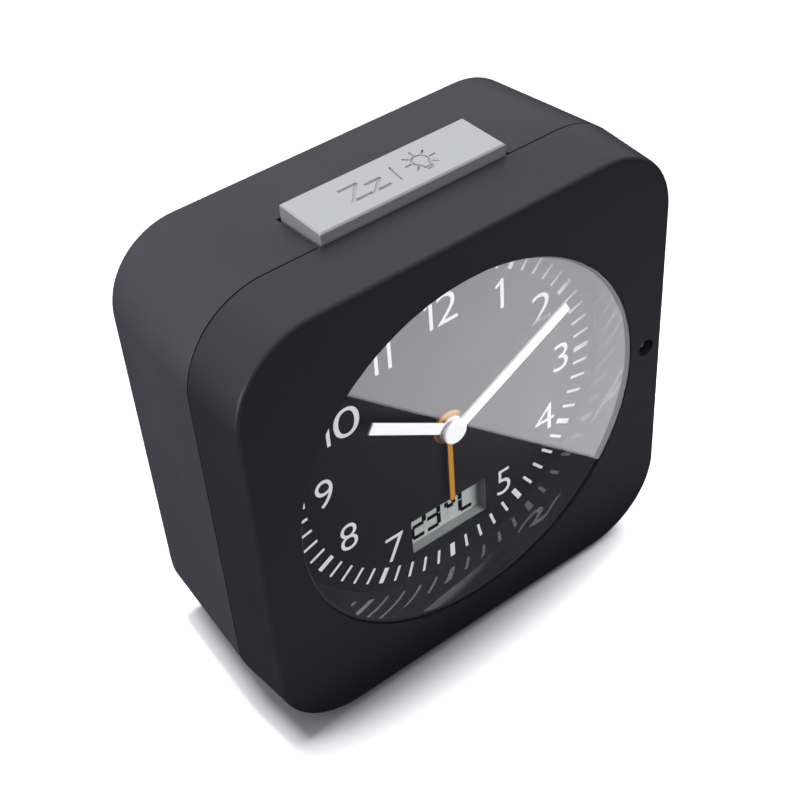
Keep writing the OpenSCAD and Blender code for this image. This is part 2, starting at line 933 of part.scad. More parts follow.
// Light sensor with its domed end in the front plate's hole
module light_sensor() {
    color("#55504a")
        placed()
            translate([sensor_x, 0, 0]) {
                translate([0, 0, sensor_lip + sensor_r])
                    sphere(r = sensor_r);
                disc(sensor_r, sensor_lip + sensor_r, sensor_back);
            }
}

// Bead of the thermometer on its two leads under the board
module temperature_sensor() {
    tip = board_front + board_t + bead_r;
    color("#6b3a1f")
        placed()
            translate([board_w / 2 - bead_drop, -board_bottom + bead_drop, 0]) {
                translate([0, 0, tip + bead_r])
                    sphere(r = bead_r);
                for (sx = [-1, 1])
                    translate([sx * bead_r / 2, 0, 0])
                        disc(lead_r, board_front + board_t, tip + bead_r);
            }
}

// Straight blade of a hand, pointing along +Y, with a blunt end
module blade(l, w, back) {
    translate([-w / 2, 0, back - hand_t])
        cube([w, l, hand_t]);
}

module hand(angle, lift, l, w, hub_r, bore) {
    back = dial_depth - lift;
    rotate(-angle)
        difference() {
            union() {
                disc(hub_r, back - hand_t, back);
                blade(l, w, back);
            }
            disc(bore, back - hand_t - over, back + over);
        }
}

// Alarm hand, the lowest of the three
module alarm_hand() {
    color("#e09a30")
        placed()
            hand(alarm_angle, alarm_lift, alarm_l, alarm_blade, alarm_hub_r, alarm_pipe_r);
}

// Hour hand
module hour_hand() {
    color("white")
        placed()
            hand(hour_angle, hour_lift, hour_l, hour_blade, hour_hub_r, hour_pipe_r);
}

// Minute hand with its round-edged cap over the end of the arbor
module minute_hand() {
    back = dial_depth - minute_lift;
    color("white")
        placed()
            difference() {
                union() {
                    rotate_extrude()
                        polygon(concat(
                            [[0, back], [cap_r, back]],
                            [for (a = [0 : 18 : 90]) [cap_r, back - cap_t]
                                + cap_round * [cos(a) - 1, 1 - sin(a)]],
                            [[0, back - cap_t]]
                        ));
                    rotate(-minute_angle)
                        blade(minute_l, minute_blade, back);
                }
                disc(arbor_r, back - hand_t, back + over);
            }
}

// Wheel on the hands' axis whose pipe carries a hand in front of the dial
module pipe_wheel(m, n, z0, phase, bore, pipe_r, front) {
    difference() {
        union() {
            gear(m, n, z0, phase);
            disc(pipe_r, front, z0 + wheel_t);
        }
        disc(bore, front - over, z0 + wheel_t + over);
    }
}

// Alarm wheel and its pipe
module alarm_wheel() {
    color("ivory")
        placed()
            pipe_wheel(gear_m, alarm_teeth, alarm_plane, 0, alarm_bore, alarm_pipe_r,
                dial_depth - alarm_lift - hand_t);
}

// Hour wheel and its pipe
module hour_wheel() {
    color("ivory")
        placed()
            pipe_wheel(hour_m, hour_teeth, hour_plane, hour_phase, hour_bore, hour_pipe_r,
                dial_depth - hour_lift - hand_t);
}

// Minute arbor with the pinion that drives the motion work. Its two collars hold the centre
// wheel, which drives the arbor by friction and slips when the time is set.
module minute_arbor() {
    color("gold")
        placed() {
            disc(arbor_r, dial_depth - minute_lift - hand_t, movement_back - plate_t - plane_gap);
            disc(pivot_r, movement_back - 2 * plate_t, movement_back - plate_t / 2);
            gear(gear_m, cannon_teeth, minute_plane);
            disc(clutch_r, centre_plane - run - clutch_t, centre_plane - run);
            disc(clutch_r, centre_plane + train_t + run, centre_plane + train_t + run + clutch_t);
        }
}

// Minute wheel with the pinion that turns the hour wheel
module minute_wheel() {
    color("ivory")
        placed()
            translate([minute_axis[0], minute_axis[1], 0])
                difference() {
                    union() {
                        gear(gear_m, minute_teeth, minute_plane, minute_phase);
                        gear(hour_m, minute_pinion_teeth, hour_plane, 0, minute_plane - hour_plane);
                    }
                    disc(wheel_post_r + run, hour_plane - over, minute_plane + wheel_t + over);
                }
}

// Outline of the movement in the plane of the dial
module movement_outline(inset = 0) {
    h = movement_up + movement_down;
    translate([0, (movement_up - movement_down) / 2])
        rounded(movement_w - 2 * inset, h - 2 * inset, movement_corner - inset);
}

module rounded(w, h, r) {
    square([w - 2 * r, h], center = true);
    square([w, h - 2 * r], center = true);
    for (sx = [-1, 1], sy = [-1, 1])
        translate([sx * (w / 2 - r), sy * (h / 2 - r)])
            circle(r);
}

// Half of the housing: a tray closed by a plate at its front or at its rear
module tray(z0, z1, front_plate) {
    difference() {
        translate([0, 0, z0])
            linear_extrude(z1 - z0)
                movement_outline();
        translate([0, 0, front_plate ? z0 + plate_t : z0 - over])
            linear_extrude(z1 - z0 - plate_t + over)
                movement_outline(side_t);
    }
}

// Front half of the movement's housing, with the bush, the post and the ears
module movement_base() {
    color("#d8d8d2")
        placed()
            difference() {
                union() {
                    tray(movement_front, movement_split, true);
                    disc(bush_r, bush_front, movement_front + plate_t);
                    translate([minute_axis[0], minute_axis[1], 0])
                        disc(wheel_post_r, movement_front, minute_plane + wheel_t + plane_gap);
                    translate([minute_axis[0], minute_axis[1], 0])
                        disc(wheel_post_r * 2, movement_front, hour_plane - plane_gap);
                    for (sx = [-1, 1]) {
                        translate([sx * ear_x(), ear_y, 0])
                            disc(ear_r, movement_front, movement_front + ear_t);
                        translate([sx * lug_x, coil_y, 0]) {
                            disc(lug_r, movement_front, middle_front);
                            disc(lug_pin_r, movement_front, stator_back + core_t);
                        }
                        translate([sx * middle_post_x, -middle_post_y, 0]) {
                            disc(middle_post_r, movement_front, middle_front);
                            disc(lug_pin_r, movement_front, middle_back);
                        }
                    }
                }
                disc(bush_bore, bush_front - over, movement_front + plate_t + over);
                for (sx = [-1, 1])
                    translate([sx * ear_x(), ear_y, 0])
                        disc(small_screw_r + slip, movement_front - over,
                            movement_front + ear_t + over);
                for (p = [time_axis, alarm_axis])
                    translate([p[0], p[1], 0])
                        disc(pivot_r + run, movement_front + plate_t / 2,
                            movement_front + plate_t + over);
            }
}

// Middle plate with the front bearings of the going train. The stator lies on it.
module middle_plate() {
    color("#d8d8d2")
        placed()
            translate([0, 0, middle_front])
                linear_extrude(middle_t)
                    difference() {
                        movement_outline(side_t + slip);
                        circle(arbor_r + slip);
                        for (p = [time_axis, alarm_axis])
                            translate(p)
                                circle(set_shaft_r + slip);
                        for (p = [rotor_axis, step_axis, second_axis, third_axis])
                            translate(p)
                                circle(train_pivot_r + run);
                        for (sx = [-1, 1]) {
                            translate([sx * lug_x, coil_y])
                                circle(lug_pin_r + run);
                            translate([sx * middle_post_x, -middle_post_y])
                                circle(lug_pin_r + run);
                        }
                        translate([0, coil_y])
                            square([coil_l, 2 * (coil_r + bobbin_t)] + 2 * [slip, slip],
                                center = true);
                    }
}

// Rear half of the movement's housing, with the shafts' bearings
module movement_cover() {
    color("#d8d8d2")
        placed()
            difference() {
                union() {
                    tray(movement_split, movement_back, false);
                    for (p = [time_axis, alarm_axis])
                        translate([p[0], p[1], 0])
                            disc(set_shaft_r * 2, movement_back - 2 * plate_t, movement_back);
                }
                disc(pivot_r + run, movement_back - plate_t - over, movement_back - plate_t / 2);
                for (p = [rotor_axis, step_axis, second_axis, third_axis])
                    translate([p[0], p[1], 0])
                        disc(train_pivot_r + run, movement_back - plate_t - over,
                            movement_back - plate_t / 2);
                for (p = [time_axis, alarm_axis])
                    translate([p[0], p[1], 0])
                        disc(set_shaft_r + run, movement_back - 2 * plate_t - over,
                            movement_back + over);
            }
}

// Coil of the stepping motor on its bobbin
module coil() {
    color("#b5651d")
        placed()
            translate([0, coil_y, core_mid])
                difference() {
                    rotate([0, 90, 0]) {
                        cylinder(r = coil_r, h = coil_l, center = true);
                        for (s = [-1, 1])
                            translate([0, 0, s * (coil_l - bobbin_t) / 2])
                                cylinder(r = coil_r + bobbin_t, h = bobbin_t, center = true);
                    }
                    cube([coil_l + over, core_w + slip, core_t + slip], center = true);
                }
}

// Iron core through the coil, whose ends lie on the stator's lugs
module coil_core() {
    color("silver")
        placed()
            difference() {
                union() {
                    translate([0, coil_y, 0])
                        slab(2 * lug_x, core_w, stator_back, stator_back + core_t);
                    for (sx = [-1, 1])
                        translate([sx * lug_x, coil_y, 0])
                            disc(lug_r, stator_back, stator_back + core_t);
                }
                for (sx = [-1, 1])
                    translate([sx * lug_x, coil_y, 0])
                        disc(lug_pin_r + run, stator_back - over, stator_back + core_t + over);
            }
}

// Stator plate, bent round the rotor's hole and split above and below it
module stator() {
    color("silver")
        placed()
            translate([0, 0, stator_front])
                linear_extrude(stator_t)
                    difference() {
                        union() {
                            for (sx = [-1, 1]) {
                                translate([sx * lug_x, coil_y])
                                    circle(lug_r);
                                translate([sx * lug_x - stator_waist / 2, rotor_y])
                                    square([stator_waist, coil_y - rotor_y]);
                            }
                            translate([-lug_x - stator_waist / 2, rotor_y - stator_waist])
                                square([2 * lug_x + stator_waist, 2 * stator_waist]);
                        }
                        translate([0, rotor_y])
                            circle(rotor_hole_r);
                        translate([-stator_split / 2, rotor_y - stator_waist - over])
                            square([stator_split, 2 * (stator_waist + over)]);
                        translate(step_axis)
                            circle(train_hole_r);
                        for (sx = [-1, 1])
                            translate([sx * lug_x, coil_y])
                                circle(lug_pin_r + run);
                    }
}

// Arbor of the going train with its pivots in the middle plate and in the cover
module train_arbor(axis) {
    translate([axis[0], axis[1], 0]) {
        disc(train_pivot_r, middle_front, movement_back - plate_t / 2);
        disc(train_arbor_r, middle_back + run, movement_back - plate_t - run);
        children();
    }
}

module train_wheel(m, n, plane, phase) {
    gear(m, n, plane, phase, train_t, train_steps);
}

module train_pinion(m, n, plane) {
    gear(m, n, plane - pinion_over, 0, train_t + 2 * pinion_over, train_steps);
}

// Rotor: a round magnet in the stator's hole and the pinion that drives the step wheel
module rotor() {
    color("#55565a")
        placed()
            train_arbor(rotor_axis) {
                disc(magnet_r, magnet_front, magnet_front + magnet_t);
                train_pinion(train_m, rotor_teeth, step_plane);
            }
}

// Step wheel, which the rotor drives
module step_wheel() {
    color("ivory")
        placed()
            train_arbor(step_axis) {
                train_wheel(train_m, step_teeth, step_plane, step_phase);
                train_pinion(second_m, step_pinion_teeth, second_plane);
            }
}

// Second wheel, which turns once a minute
module second_wheel() {
    color("ivory")
        placed()
            train_arbor(second_axis) {
                train_wheel(second_m, second_teeth, second_plane, second_phase);
                train_pinion(train_m, second_pinion_teeth, third_plane);
            }
}

// Third wheel, whose pinion drives the centre wheel in front of it
module third_wheel() {
    color("ivory")
        placed()
            train_arbor(third_axis) {
                train_wheel(train_m, third_teeth, third_plane, third_phase);
                train_pinion(train_m, third_pinion_teeth, centre_plane);
            }
}

// Centre wheel, loose on the minute arbor between its collars
module centre_wheel() {
    color("ivory")
        placed()
            difference() {
                train_wheel(train_m, centre_teeth, centre_plane, centre_phase);
                disc(arbor_r + run, centre_plane - over, centre_plane + train_t + over);
            }
}

// Shaft of a setting knob, from its front pivot to the knob
module set_shaft(axis, teeth, plane, phase) {
    translate([axis[0], axis[1], 0]) {
        disc(pivot_r, movement_front + plate_t - plate_t / 2, plane);
        disc(set_shaft_r, plane, knob_back - knob_t / 2);
        gear(gear_m, teeth, plane, phase);
    }
}

// Shaft that sets the time through the minute wheel
module time_shaft() {
    color("ivory")
        placed()
            set_shaft(time_axis, time_teeth, minute_plane, time_phase);
}

// Shaft that sets the alarm
module alarm_shaft() {
    color("ivory")
        placed()
            set_shaft(alarm_axis, alarm_set_teeth, alarm_plane, alarm_set_phase);
}

// Fluted knob on the end of a setting shaft
module set_knob(axis) {
    translate([axis[0], axis[1], 0])
        difference() {
            disc(knob_r, knob_front, knob_back);
            disc(set_shaft_r, knob_front - over, knob_back - knob_t / 2);
            for (i = [0 : knob_flutes - 1])
                rotate(360 * i / knob_flutes)
                    translate([knob_r, 0, 0])
                        disc(flute_r, knob_front - over, knob_back + over);
        }
}

// Knob that sets the time
module time_knob() {
    color("#2a2a2d")
        placed()
            set_knob(time_axis);
}

// Knob that sets the alarm
module alarm_knob() {
    color("#2a2a2d")
        placed()
            set_knob(alarm_axis);
}

// Snooze button: a hollow slab with a retaining lip, two guide pins and a plunger
module snooze_button() {
    mid = (button_front + button_back) / 2;
    inside = button_top - button_top_t;
    color("#c4c6ca")
        placed() {
            difference() {
                union() {
                    button_slab();
                    translate([0, (lip_top + lip_bottom) / 2, 0])
                        slab(button_w + 2 * (button_gap + lip_w), lip_t, lip_front, lip_back);
                }
                translate([-button_w / 2 + button_wall, lip_bottom - over,
                    button_front + button_wall])
                    cube([button_w - 2 * button_wall, inside - lip_bottom + over,
                        button_d - 2 * button_wall]);
            }
            for (sx = [-1, 1])
                translate([sx * guide_x, 0, 0])
                    upright(guide_r, mid, bracket_bottom - guide_over, inside + button_top_t / 2);
            upright(plunger_r, mid, dome_top + plunger_gap, inside + button_top_t / 2);
        }
}

// Slab whose top edges are chamfered, as the overlap of its front and its side profile
module button_slab() {
    h = button_top - lip_bottom;
    intersection() {
        translate([-button_w / 2, lip_bottom, button_front - over])
            linear_extrude(button_d + 2 * over)
                chamfered(button_w, h);
        rotate([0, -90, 0])
            linear_extrude(button_w, center = true)
                translate([button_front, lip_bottom])
                    chamfered(button_d, h);
    }
}

module chamfered(w, h) {
    polygon([[0, 0], [w, 0], [w, h - button_edge], [w - button_edge, h], [button_edge, h],
        [0, h - button_edge]]);
}

// Bracket under the button, with the bores of its guide pins
module button_bracket() {
    mid = (button_front + button_back) / 2;
    color("#3a3a3e")
        placed()
            difference() {
                translate([0, (bracket_top + bracket_bottom) / 2, 0])
                    slab(2 * (bracket_x + bracket_post_r), bracket_t,
                        bracket_depth - bracket_d / 2, bracket_depth + bracket_d / 2);
                for (sx = [-1, 1]) {
                    translate([sx * guide_x, 0, 0])
                        upright(guide_r + run, mid, bracket_bottom - over, bracket_top + over);
                    translate([sx * bracket_x, 0, 0])
                        upright(small_screw_r + slip, bracket_depth, bracket_bottom - over,
                            bracket_top + over);
                }
            }
}

// Board of the button's contact, between the guide pins
module button_board() {
    color("#2f6b3a")
        placed()
            translate([0, bracket_top + board_rest / 2, 0])
                slab(2 * (guide_x - guide_r - slip - board_rest), board_rest,
                    bracket_depth - bracket_d / 2, bracket_depth + bracket_d / 2);
}

// Rubber dome that closes the contact and lifts the button again
module snooze_dome() {
    mid = (button_front + button_back) / 2;
    color("#d9d4cc")
        placed()
            translate([0, dome_base, mid])
                rotate([-90, 0, 0])
                    rotate_extrude()
                        polygon([
                            [dome_r - dome_t, 0],
                            [dome_r, 0],
                            [plunger_r, dome_h - dome_t],
                            [plunger_r, dome_h],
                            [0, dome_h],
                            [0, dome_h - dome_t],
                            [plunger_r - dome_t, dome_h - dome_t]
                        ]);
}

// Slider that switches the alarm on, at its off end
module alarm_slider() {
    flange_back = rear_inner - slider_gap;
    color("#2a2a2d")
        placed()
            translate([-slider_travel / 2, slider_y, 0]) {
                slab(slider_w, slider_h, flange_back - slider_flange_t / 2,
                    case_depth - slider_sink);
                slab(slider_flange_w, slider_flange_h, flange_back - slider_flange_t, flange_back);
                slab(stem_w, stem_w, flange_back - slider_flange_t - switch_set_back - switch_t / 2,
                    flange_back - slider_flange_t / 2);
            }
}

function switch_back() = rear_inner - slider_flange_t - 2 * slider_gap;
function switch_front() = switch_back() - switch_t;
function cradle_y() = slider_flange_h / 2 + slider_gap + cradle_t / 2;

// Slide switch on its tab plate, open where the slider's stem enters it
module slide_switch() {
    color("silver")
        placed()
            translate([0, slider_y, 0])
                difference() {
                    union() {
                        slab(switch_w, switch_h, switch_front(), switch_back());
                        slab(switch_w, 2 * cradle_y() + cradle_t, switch_front() - switch_tab_t,
                            switch_front());
                    }
                    slab(stem_w + slider_travel + 2 * slider_gap, stem_w + 2 * slider_gap,
                        switch_front() + switch_wall, switch_back() + over);
                }
}

// Buzzer in its collar behind the sound holes
module buzzer() {
    color("#141414")
        placed()
            translate([buzzer_x, buzzer_y, 0])
                disc(buzzer_r, rear_inner - buzzer_t, rear_inner);
}

// AA cell with its nub to the right
module battery() {
    left = -bay_l / 2 + contact_t + spring_room;
    color("#b08a3a")
        placed()
            translate([left, bay_y, cell_depth])
                rotate([0, 90, 0]) {
                    cylinder(r = cell_r, h = cell_l);
                    cylinder(r = nub_r, h = cell_l + nub_l);
                }
}

// Contact plate with its tapered coil at the cell's flat end. The coil is wound of quarter turns.
module contact_spring() {
    quarters = 4 * spring_turns;
    rise = (spring_room - wire_r - run) / (quarters - 1);
    taper = (spring_base_r - spring_end_r) / quarters;
    color("silver")
        placed()
            translate([-bay_l / 2, bay_y, cell_depth])
                rotate([0, 90, 0]) {
                    cylinder(r = cell_r * 0.8, h = contact_t);
                    for (i = [0 : quarters - 1])
                        translate([0, 0, contact_t + rise * i])
                            rotate(90 * i)
                                rotate_extrude(angle = 92)
                                    translate([spring_base_r - taper * i, 0])
                                        circle(wire_r, $fn = 24);
                }
}

// Contact plate at the cell's nub
module contact_plate() {
    color("silver")
        placed()
            translate([bay_l / 2, bay_y, cell_depth])
                rotate([0, -90, 0])
                    cylinder(r = cell_r * 0.8, h = contact_t + slip);
}

// Battery door, hinged on two pins along its lower edge, with a catch at its upper edge
module battery_door() {
    top = hinge_y + door_h - hinge_r;
    color("#1d1c20")
        placed()
            difference() {
                union() {
                    translate([-door_w / 2, hinge_y, door_front])
                        cube([door_w, door_h - hinge_r, door_t]);
                    translate([0, hinge_y, hinge_depth])
                        rotate([0, 90, 0]) {
                            cylinder(r = hinge_r, h = door_w, center = true);
                            cylinder(r = hinge_pin_r, h = door_w + 2 * hinge_pin_l, center = true);
                        }
                    translate([-catch_w / 2, top - door_lap - catch_gap - catch_t,
                        door_front - catch_l])
                        cube([catch_w, catch_t, catch_l + door_t / 2]);
                }
                for (i = [1 : grooves])
                    translate([-groove_w / 2, top - i * groove_pitch - groove_h, door_back - groove_t])
                        cube([groove_w, groove_h, groove_t + over]);
            }
}

front_case();
rear_case();
case_screws();
feet();
lens();
dial_ring();
dial();
dial_carrier();
inner_screws();
lcd_frame();
lcd_glass();
lcd_connector();
main_board();
light_sensor();
temperature_sensor();
alarm_hand();
alarm_wheel();
hour_hand();
hour_wheel();
minute_hand();
minute_arbor();
minute_wheel();
movement_base();
middle_plate();
movement_cover();
coil();
coil_core();
stator();
rotor();
step_wheel();
second_wheel();
third_wheel();
centre_wheel();
time_shaft();
time_knob();
alarm_shaft();
alarm_knob();
snooze_button();
button_bracket();
button_board();
snooze_dome();
alarm_slider();
slide_switch();
buzzer();
battery();
contact_spring();
contact_plate();
battery_door();
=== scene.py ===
"""Square bedside alarm clock with a round glazed dial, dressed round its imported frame."""

import json
import math

import bpy
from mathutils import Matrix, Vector

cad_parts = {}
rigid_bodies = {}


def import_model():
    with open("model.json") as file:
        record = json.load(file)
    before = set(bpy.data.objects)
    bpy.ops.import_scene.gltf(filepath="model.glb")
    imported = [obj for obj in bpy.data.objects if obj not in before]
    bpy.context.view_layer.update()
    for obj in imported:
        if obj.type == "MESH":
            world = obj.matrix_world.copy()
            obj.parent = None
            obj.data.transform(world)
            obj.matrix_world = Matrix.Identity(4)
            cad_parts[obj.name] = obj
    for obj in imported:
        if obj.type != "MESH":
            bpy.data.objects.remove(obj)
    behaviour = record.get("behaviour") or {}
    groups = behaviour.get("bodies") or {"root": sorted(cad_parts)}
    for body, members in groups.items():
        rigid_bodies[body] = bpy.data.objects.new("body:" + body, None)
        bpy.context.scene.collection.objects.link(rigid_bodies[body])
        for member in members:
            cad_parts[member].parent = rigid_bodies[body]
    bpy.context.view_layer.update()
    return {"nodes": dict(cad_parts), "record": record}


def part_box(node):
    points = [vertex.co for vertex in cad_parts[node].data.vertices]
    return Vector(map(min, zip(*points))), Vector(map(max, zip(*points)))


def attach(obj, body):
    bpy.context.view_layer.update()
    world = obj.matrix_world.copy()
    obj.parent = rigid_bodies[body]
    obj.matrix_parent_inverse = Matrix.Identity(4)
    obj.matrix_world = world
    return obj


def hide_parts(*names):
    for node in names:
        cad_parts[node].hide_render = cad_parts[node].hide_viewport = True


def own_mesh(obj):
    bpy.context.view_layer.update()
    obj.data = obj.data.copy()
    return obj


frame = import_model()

nodes = frame["nodes"]

# Camera: it stands to the left of the clock and above it, and looks down at the lens.
bpy.ops.object.camera_add(
    location=(-0.13121, -0.18651, 0.25011), rotation=(0.845297, 0.059998, -0.661106)
)
camera = bpy.context.object
camera.name = "camera"
camera.data.lens = 68.65
camera.data.sensor_width = 36
camera.data.clip_start = 0.01
bpy.context.scene.camera = camera

# Studio: a pale floor under a cool white dome that is brightest overhead. The floor is dark in
# reflections, as with a black cloth in front of the clock, and it fades into a white backdrop.
FLOOR_SEEN, FLOOR_MIRRORED = (0.4, 0.4, 0.408, 1), (0.016, 0.016, 0.018, 1)
FADE_START, FADE_END = 0.2, 0.5
bpy.ops.mesh.primitive_plane_add(size=8, location=(0, 0, -0.0001))
floor = bpy.context.object
floor.name = "studio_floor"
paper = bpy.data.materials.new("studio_paper")
paper.use_nodes = True
tree = paper.node_tree
tree.nodes.clear()
seen = tree.nodes.new("ShaderNodeBsdfDiffuse")
seen.inputs["Color"].default_value = FLOOR_SEEN
mirrored = tree.nodes.new("ShaderNodeBsdfDiffuse")
mirrored.inputs["Color"].default_value = FLOOR_MIRRORED
path = tree.nodes.new("ShaderNodeLightPath")
mix = tree.nodes.new("ShaderNodeMixShader")
out = tree.nodes.new("ShaderNodeOutputMaterial")
backdrop = tree.nodes.new("ShaderNodeEmission")
place = tree.nodes.new("ShaderNodeTexCoord")
distance, fade = tree.nodes.new("ShaderNodeVectorMath"), tree.nodes.new("ShaderNodeMapRange")
distance.operation = "LENGTH"
fade.interpolation_type = "SMOOTHSTEP"
fade.inputs["From Min"].default_value = FADE_START
fade.inputs["From Max"].default_value = FADE_END
faded = tree.nodes.new("ShaderNodeMixShader")
tree.links.new(place.outputs["Object"], distance.inputs[0])
tree.links.new(distance.outputs["Value"], fade.inputs["Value"])
tree.links.new(fade.outputs["Result"], faded.inputs["Fac"])
tree.links.new(seen.outputs[0], faded.inputs[1])
tree.links.new(backdrop.outputs[0], faded.inputs[2])
tree.links.new(path.outputs["Is Camera Ray"], mix.inputs["Fac"])
tree.links.new(mirrored.outputs[0], mix.inputs[1])
tree.links.new(faded.outputs[0], mix.inputs[2])
tree.links.new(mix.outputs[0], out.inputs["Surface"])
floor.data.materials.append(paper)

# The dome gets stronger from the horizon to the top and from the clock's front to its back. The
# camera itself sees plain white.
world = bpy.data.worlds.new("studio_dome")
bpy.context.scene.world = world
world.use_nodes = True
tree = world.node_tree
tree.nodes.clear()
place = tree.nodes.new("ShaderNodeTexCoord")
axes = tree.nodes.new("ShaderNodeSeparateXYZ")
rise = tree.nodes.new("ShaderNodeMapRange")
rise.inputs["To Min"].default_value = 0.5
rise.inputs["To Max"].default_value = 1.55
depth = tree.nodes.new("ShaderNodeMapRange")
depth.inputs["From Min"].default_value = -0.6
depth.inputs["From Max"].default_value = 0.5
depth.inputs["To Min"].default_value = 0.45
depth.inputs["To Max"].default_value = 1.1
level = tree.nodes.new("ShaderNodeMath")
level.operation = "MULTIPLY"
dome = tree.nodes.new("ShaderNodeBackground")
dome.inputs["Color"].default_value = (0.95, 0.94, 1, 1)
out = tree.nodes.new("ShaderNodeOutputWorld")
tree.links.new(place.outputs["Generated"], axes.inputs[0])
tree.links.new(axes.outputs["Z"], rise.inputs["Value"])
tree.links.new(axes.outputs["Y"], depth.inputs["Value"])
tree.links.new(rise.outputs["Result"], level.inputs[0])
tree.links.new(depth.outputs["Result"], level.inputs[1])
tree.links.new(level.outputs[0], dome.inputs["Strength"])
white = tree.nodes.new("ShaderNodeBackground")
white.inputs["Color"].default_value = (1, 1, 1, 1)
path = tree.nodes.new("ShaderNodeLightPath")
mix = tree.nodes.new("ShaderNodeMixShader")
tree.links.new(path.outputs["Is Camera Ray"], mix.inputs["Fac"])
tree.links.new(dome.outputs[0], mix.inputs[1])
tree.links.new(white.outputs[0], mix.inputs[2])
tree.links.new(mix.outputs[0], out.inputs["Surface"])
bpy.context.scene.view_settings.view_transform = "Standard"


def deselect():
    if bpy.context.object and bpy.context.object.mode != "OBJECT":
        bpy.ops.object.mode_set(mode="OBJECT")
    bpy.ops.object.select_all(action="DESELECT")


def softbox(name, place, turn, width, height, power, only, shape="RECTANGLE"):
    """Lamp that lights the pieces in only. Its turn is in degrees, from facing down."""
    deselect()
    turn = [math.radians(angle) for angle in turn]
    bpy.ops.object.light_add(type="AREA", location=place, rotation=turn)
    lamp = bpy.context.object
    lamp.name = name
    lamp.data.shape = shape
    lamp.data.size = width
    lamp.data.size_y = height
    lamp.data.energy = power
    lamp.visible_camera = False
    receivers = bpy.data.collections.new(name + "_receivers")
    for piece in only:
        receivers.objects.link(piece)
    lamp.light_linking.receiver_collection = receivers
    return lamp


# Two lamps high above shade the floor round the clock, and a weak one lifts the shade at its right.
softbox("floor_box", (-0.05, 0.035, 1.0), (0, 0, 0), 0.08, 0.13, 12, [floor], "ELLIPSE")
softbox("floor_side", (-0.2, 0.035, 1.0), (0, 0, 0), 0.29, 0.13, 14, [floor], "ELLIPSE")
floor_fill = softbox("floor_fill", (0.1, -0.03, 0.08), (0, 0, 0), 0.05, 0.08, 0.25, [floor])
floor_fill.data.spread = math.radians(110)

# Front shell of the casing: black moulded plastic with a fine matt grain. It is one moulding with
# the face round the lens, and its sharp rims are slightly broken.
MM = 0.001
CLOUDS = 60
WELD, FLAT, SHARP = 0.002 * MM, math.radians(0.3), math.radians(40)


def surface_group():
    """Shader group: a fine moulded grain and a slow change of tone and gloss over the surface."""
    group = bpy.data.node_groups.new("moulded_grain", "ShaderNodeTree")
    for name, kind in (
        ("Grain", "NodeSocketFloat"),
        ("Colour 1", "NodeSocketColor"),
        ("Colour 2", "NodeSocketColor"),
        ("Gloss 1", "NodeSocketFloat"),
        ("Gloss 2", "NodeSocketFloat"),
    ):
        group.interface.new_socket(name, in_out="INPUT", socket_type=kind)
    group.interface.new_socket("Colour", in_out="OUTPUT", socket_type="NodeSocketColor")
    group.interface.new_socket("Roughness", in_out="OUTPUT", socket_type="NodeSocketFloat")
    group.interface.new_socket("Height", in_out="OUTPUT", socket_type="NodeSocketFloat")
    new, link = group.nodes.new, group.links.new
    inside, outside = new("NodeGroupInput"), new("NodeGroupOutput")
    place = new("ShaderNodeTexCoord")
    grain, cloud = new("ShaderNodeTexNoise"), new("ShaderNodeTexNoise")
    grain.inputs["Detail"].default_value = 2
    cloud.inputs["Detail"].default_value = 3
    cloud.inputs["Scale"].default_value = CLOUDS
    tone, gloss = new("ShaderNodeMix"), new("ShaderNodeMapRange")
    tone.data_type = "RGBA"
    gloss.inputs["From Min"].default_value = 0.3
    gloss.inputs["From Max"].default_value = 0.7
    link(place.outputs["Object"], grain.inputs["Vector"])
    link(place.outputs["Object"], cloud.inputs["Vector"])
    link(inside.outputs["Grain"], grain.inputs["Scale"])
    link(cloud.outputs["Fac"], tone.inputs["Factor"])
    link(inside.outputs["Colour 1"], tone.inputs["A"])
    link(inside.outputs["Colour 2"], tone.inputs["B"])
    link(cloud.outputs["Fac"], gloss.inputs["Value"])
    link(inside.outputs["Gloss 1"], gloss.inputs["To Min"])
    link(inside.outputs["Gloss 2"], gloss.inputs["To Max"])
    link(tone.outputs["Result"], outside.inputs["Colour"])
    link(gloss.outputs["Result"], outside.inputs["Roughness"])
    link(grain.outputs["Fac"], outside.inputs["Height"])
    return group


grain_group = surface_group()


def finish(name, colour, rough, grain=4000, depth=0.01 * MM, shift=0.12, spread=0.06, **sockets):
    """Material with a grain of that depth, whose tone drifts by shift and its gloss by spread.

    With None as its colour it leaves the base colour to the section of the piece.
    """
    material = bpy.data.materials.new(name)
    material.use_nodes = True
    tree = material.node_tree
    shader = tree.nodes["Principled BSDF"]
    effect = tree.nodes.new("ShaderNodeGroup")
    effect.node_tree = grain_group
    effect.inputs["Grain"].default_value = grain
    if colour:
        effect.inputs["Colour 1"].default_value = [c * (1 - shift) for c in colour] + [1]
        effect.inputs["Colour 2"].default_value = [c * (1 + shift) for c in colour] + [1]
        tree.links.new(effect.outputs["Colour"], shader.inputs["Base Color"])
    effect.inputs["Gloss 1"].default_value = rough - spread / 2
    effect.inputs["Gloss 2"].default_value = rough + spread / 2
    bump = tree.nodes.new("ShaderNodeBump")
    bump.inputs["Distance"].default_value = depth
    tree.links.new(effect.outputs["Roughness"], shader.inputs["Roughness"])
    tree.links.new(effect.outputs["Height"], bump.inputs["Height"])
    tree.links.new(bump.outputs["Normal"], shader.inputs["Normal"])
    for socket, value in sockets.items():
        shader.inputs[socket.replace("_", " ")].default_value = value
    return material


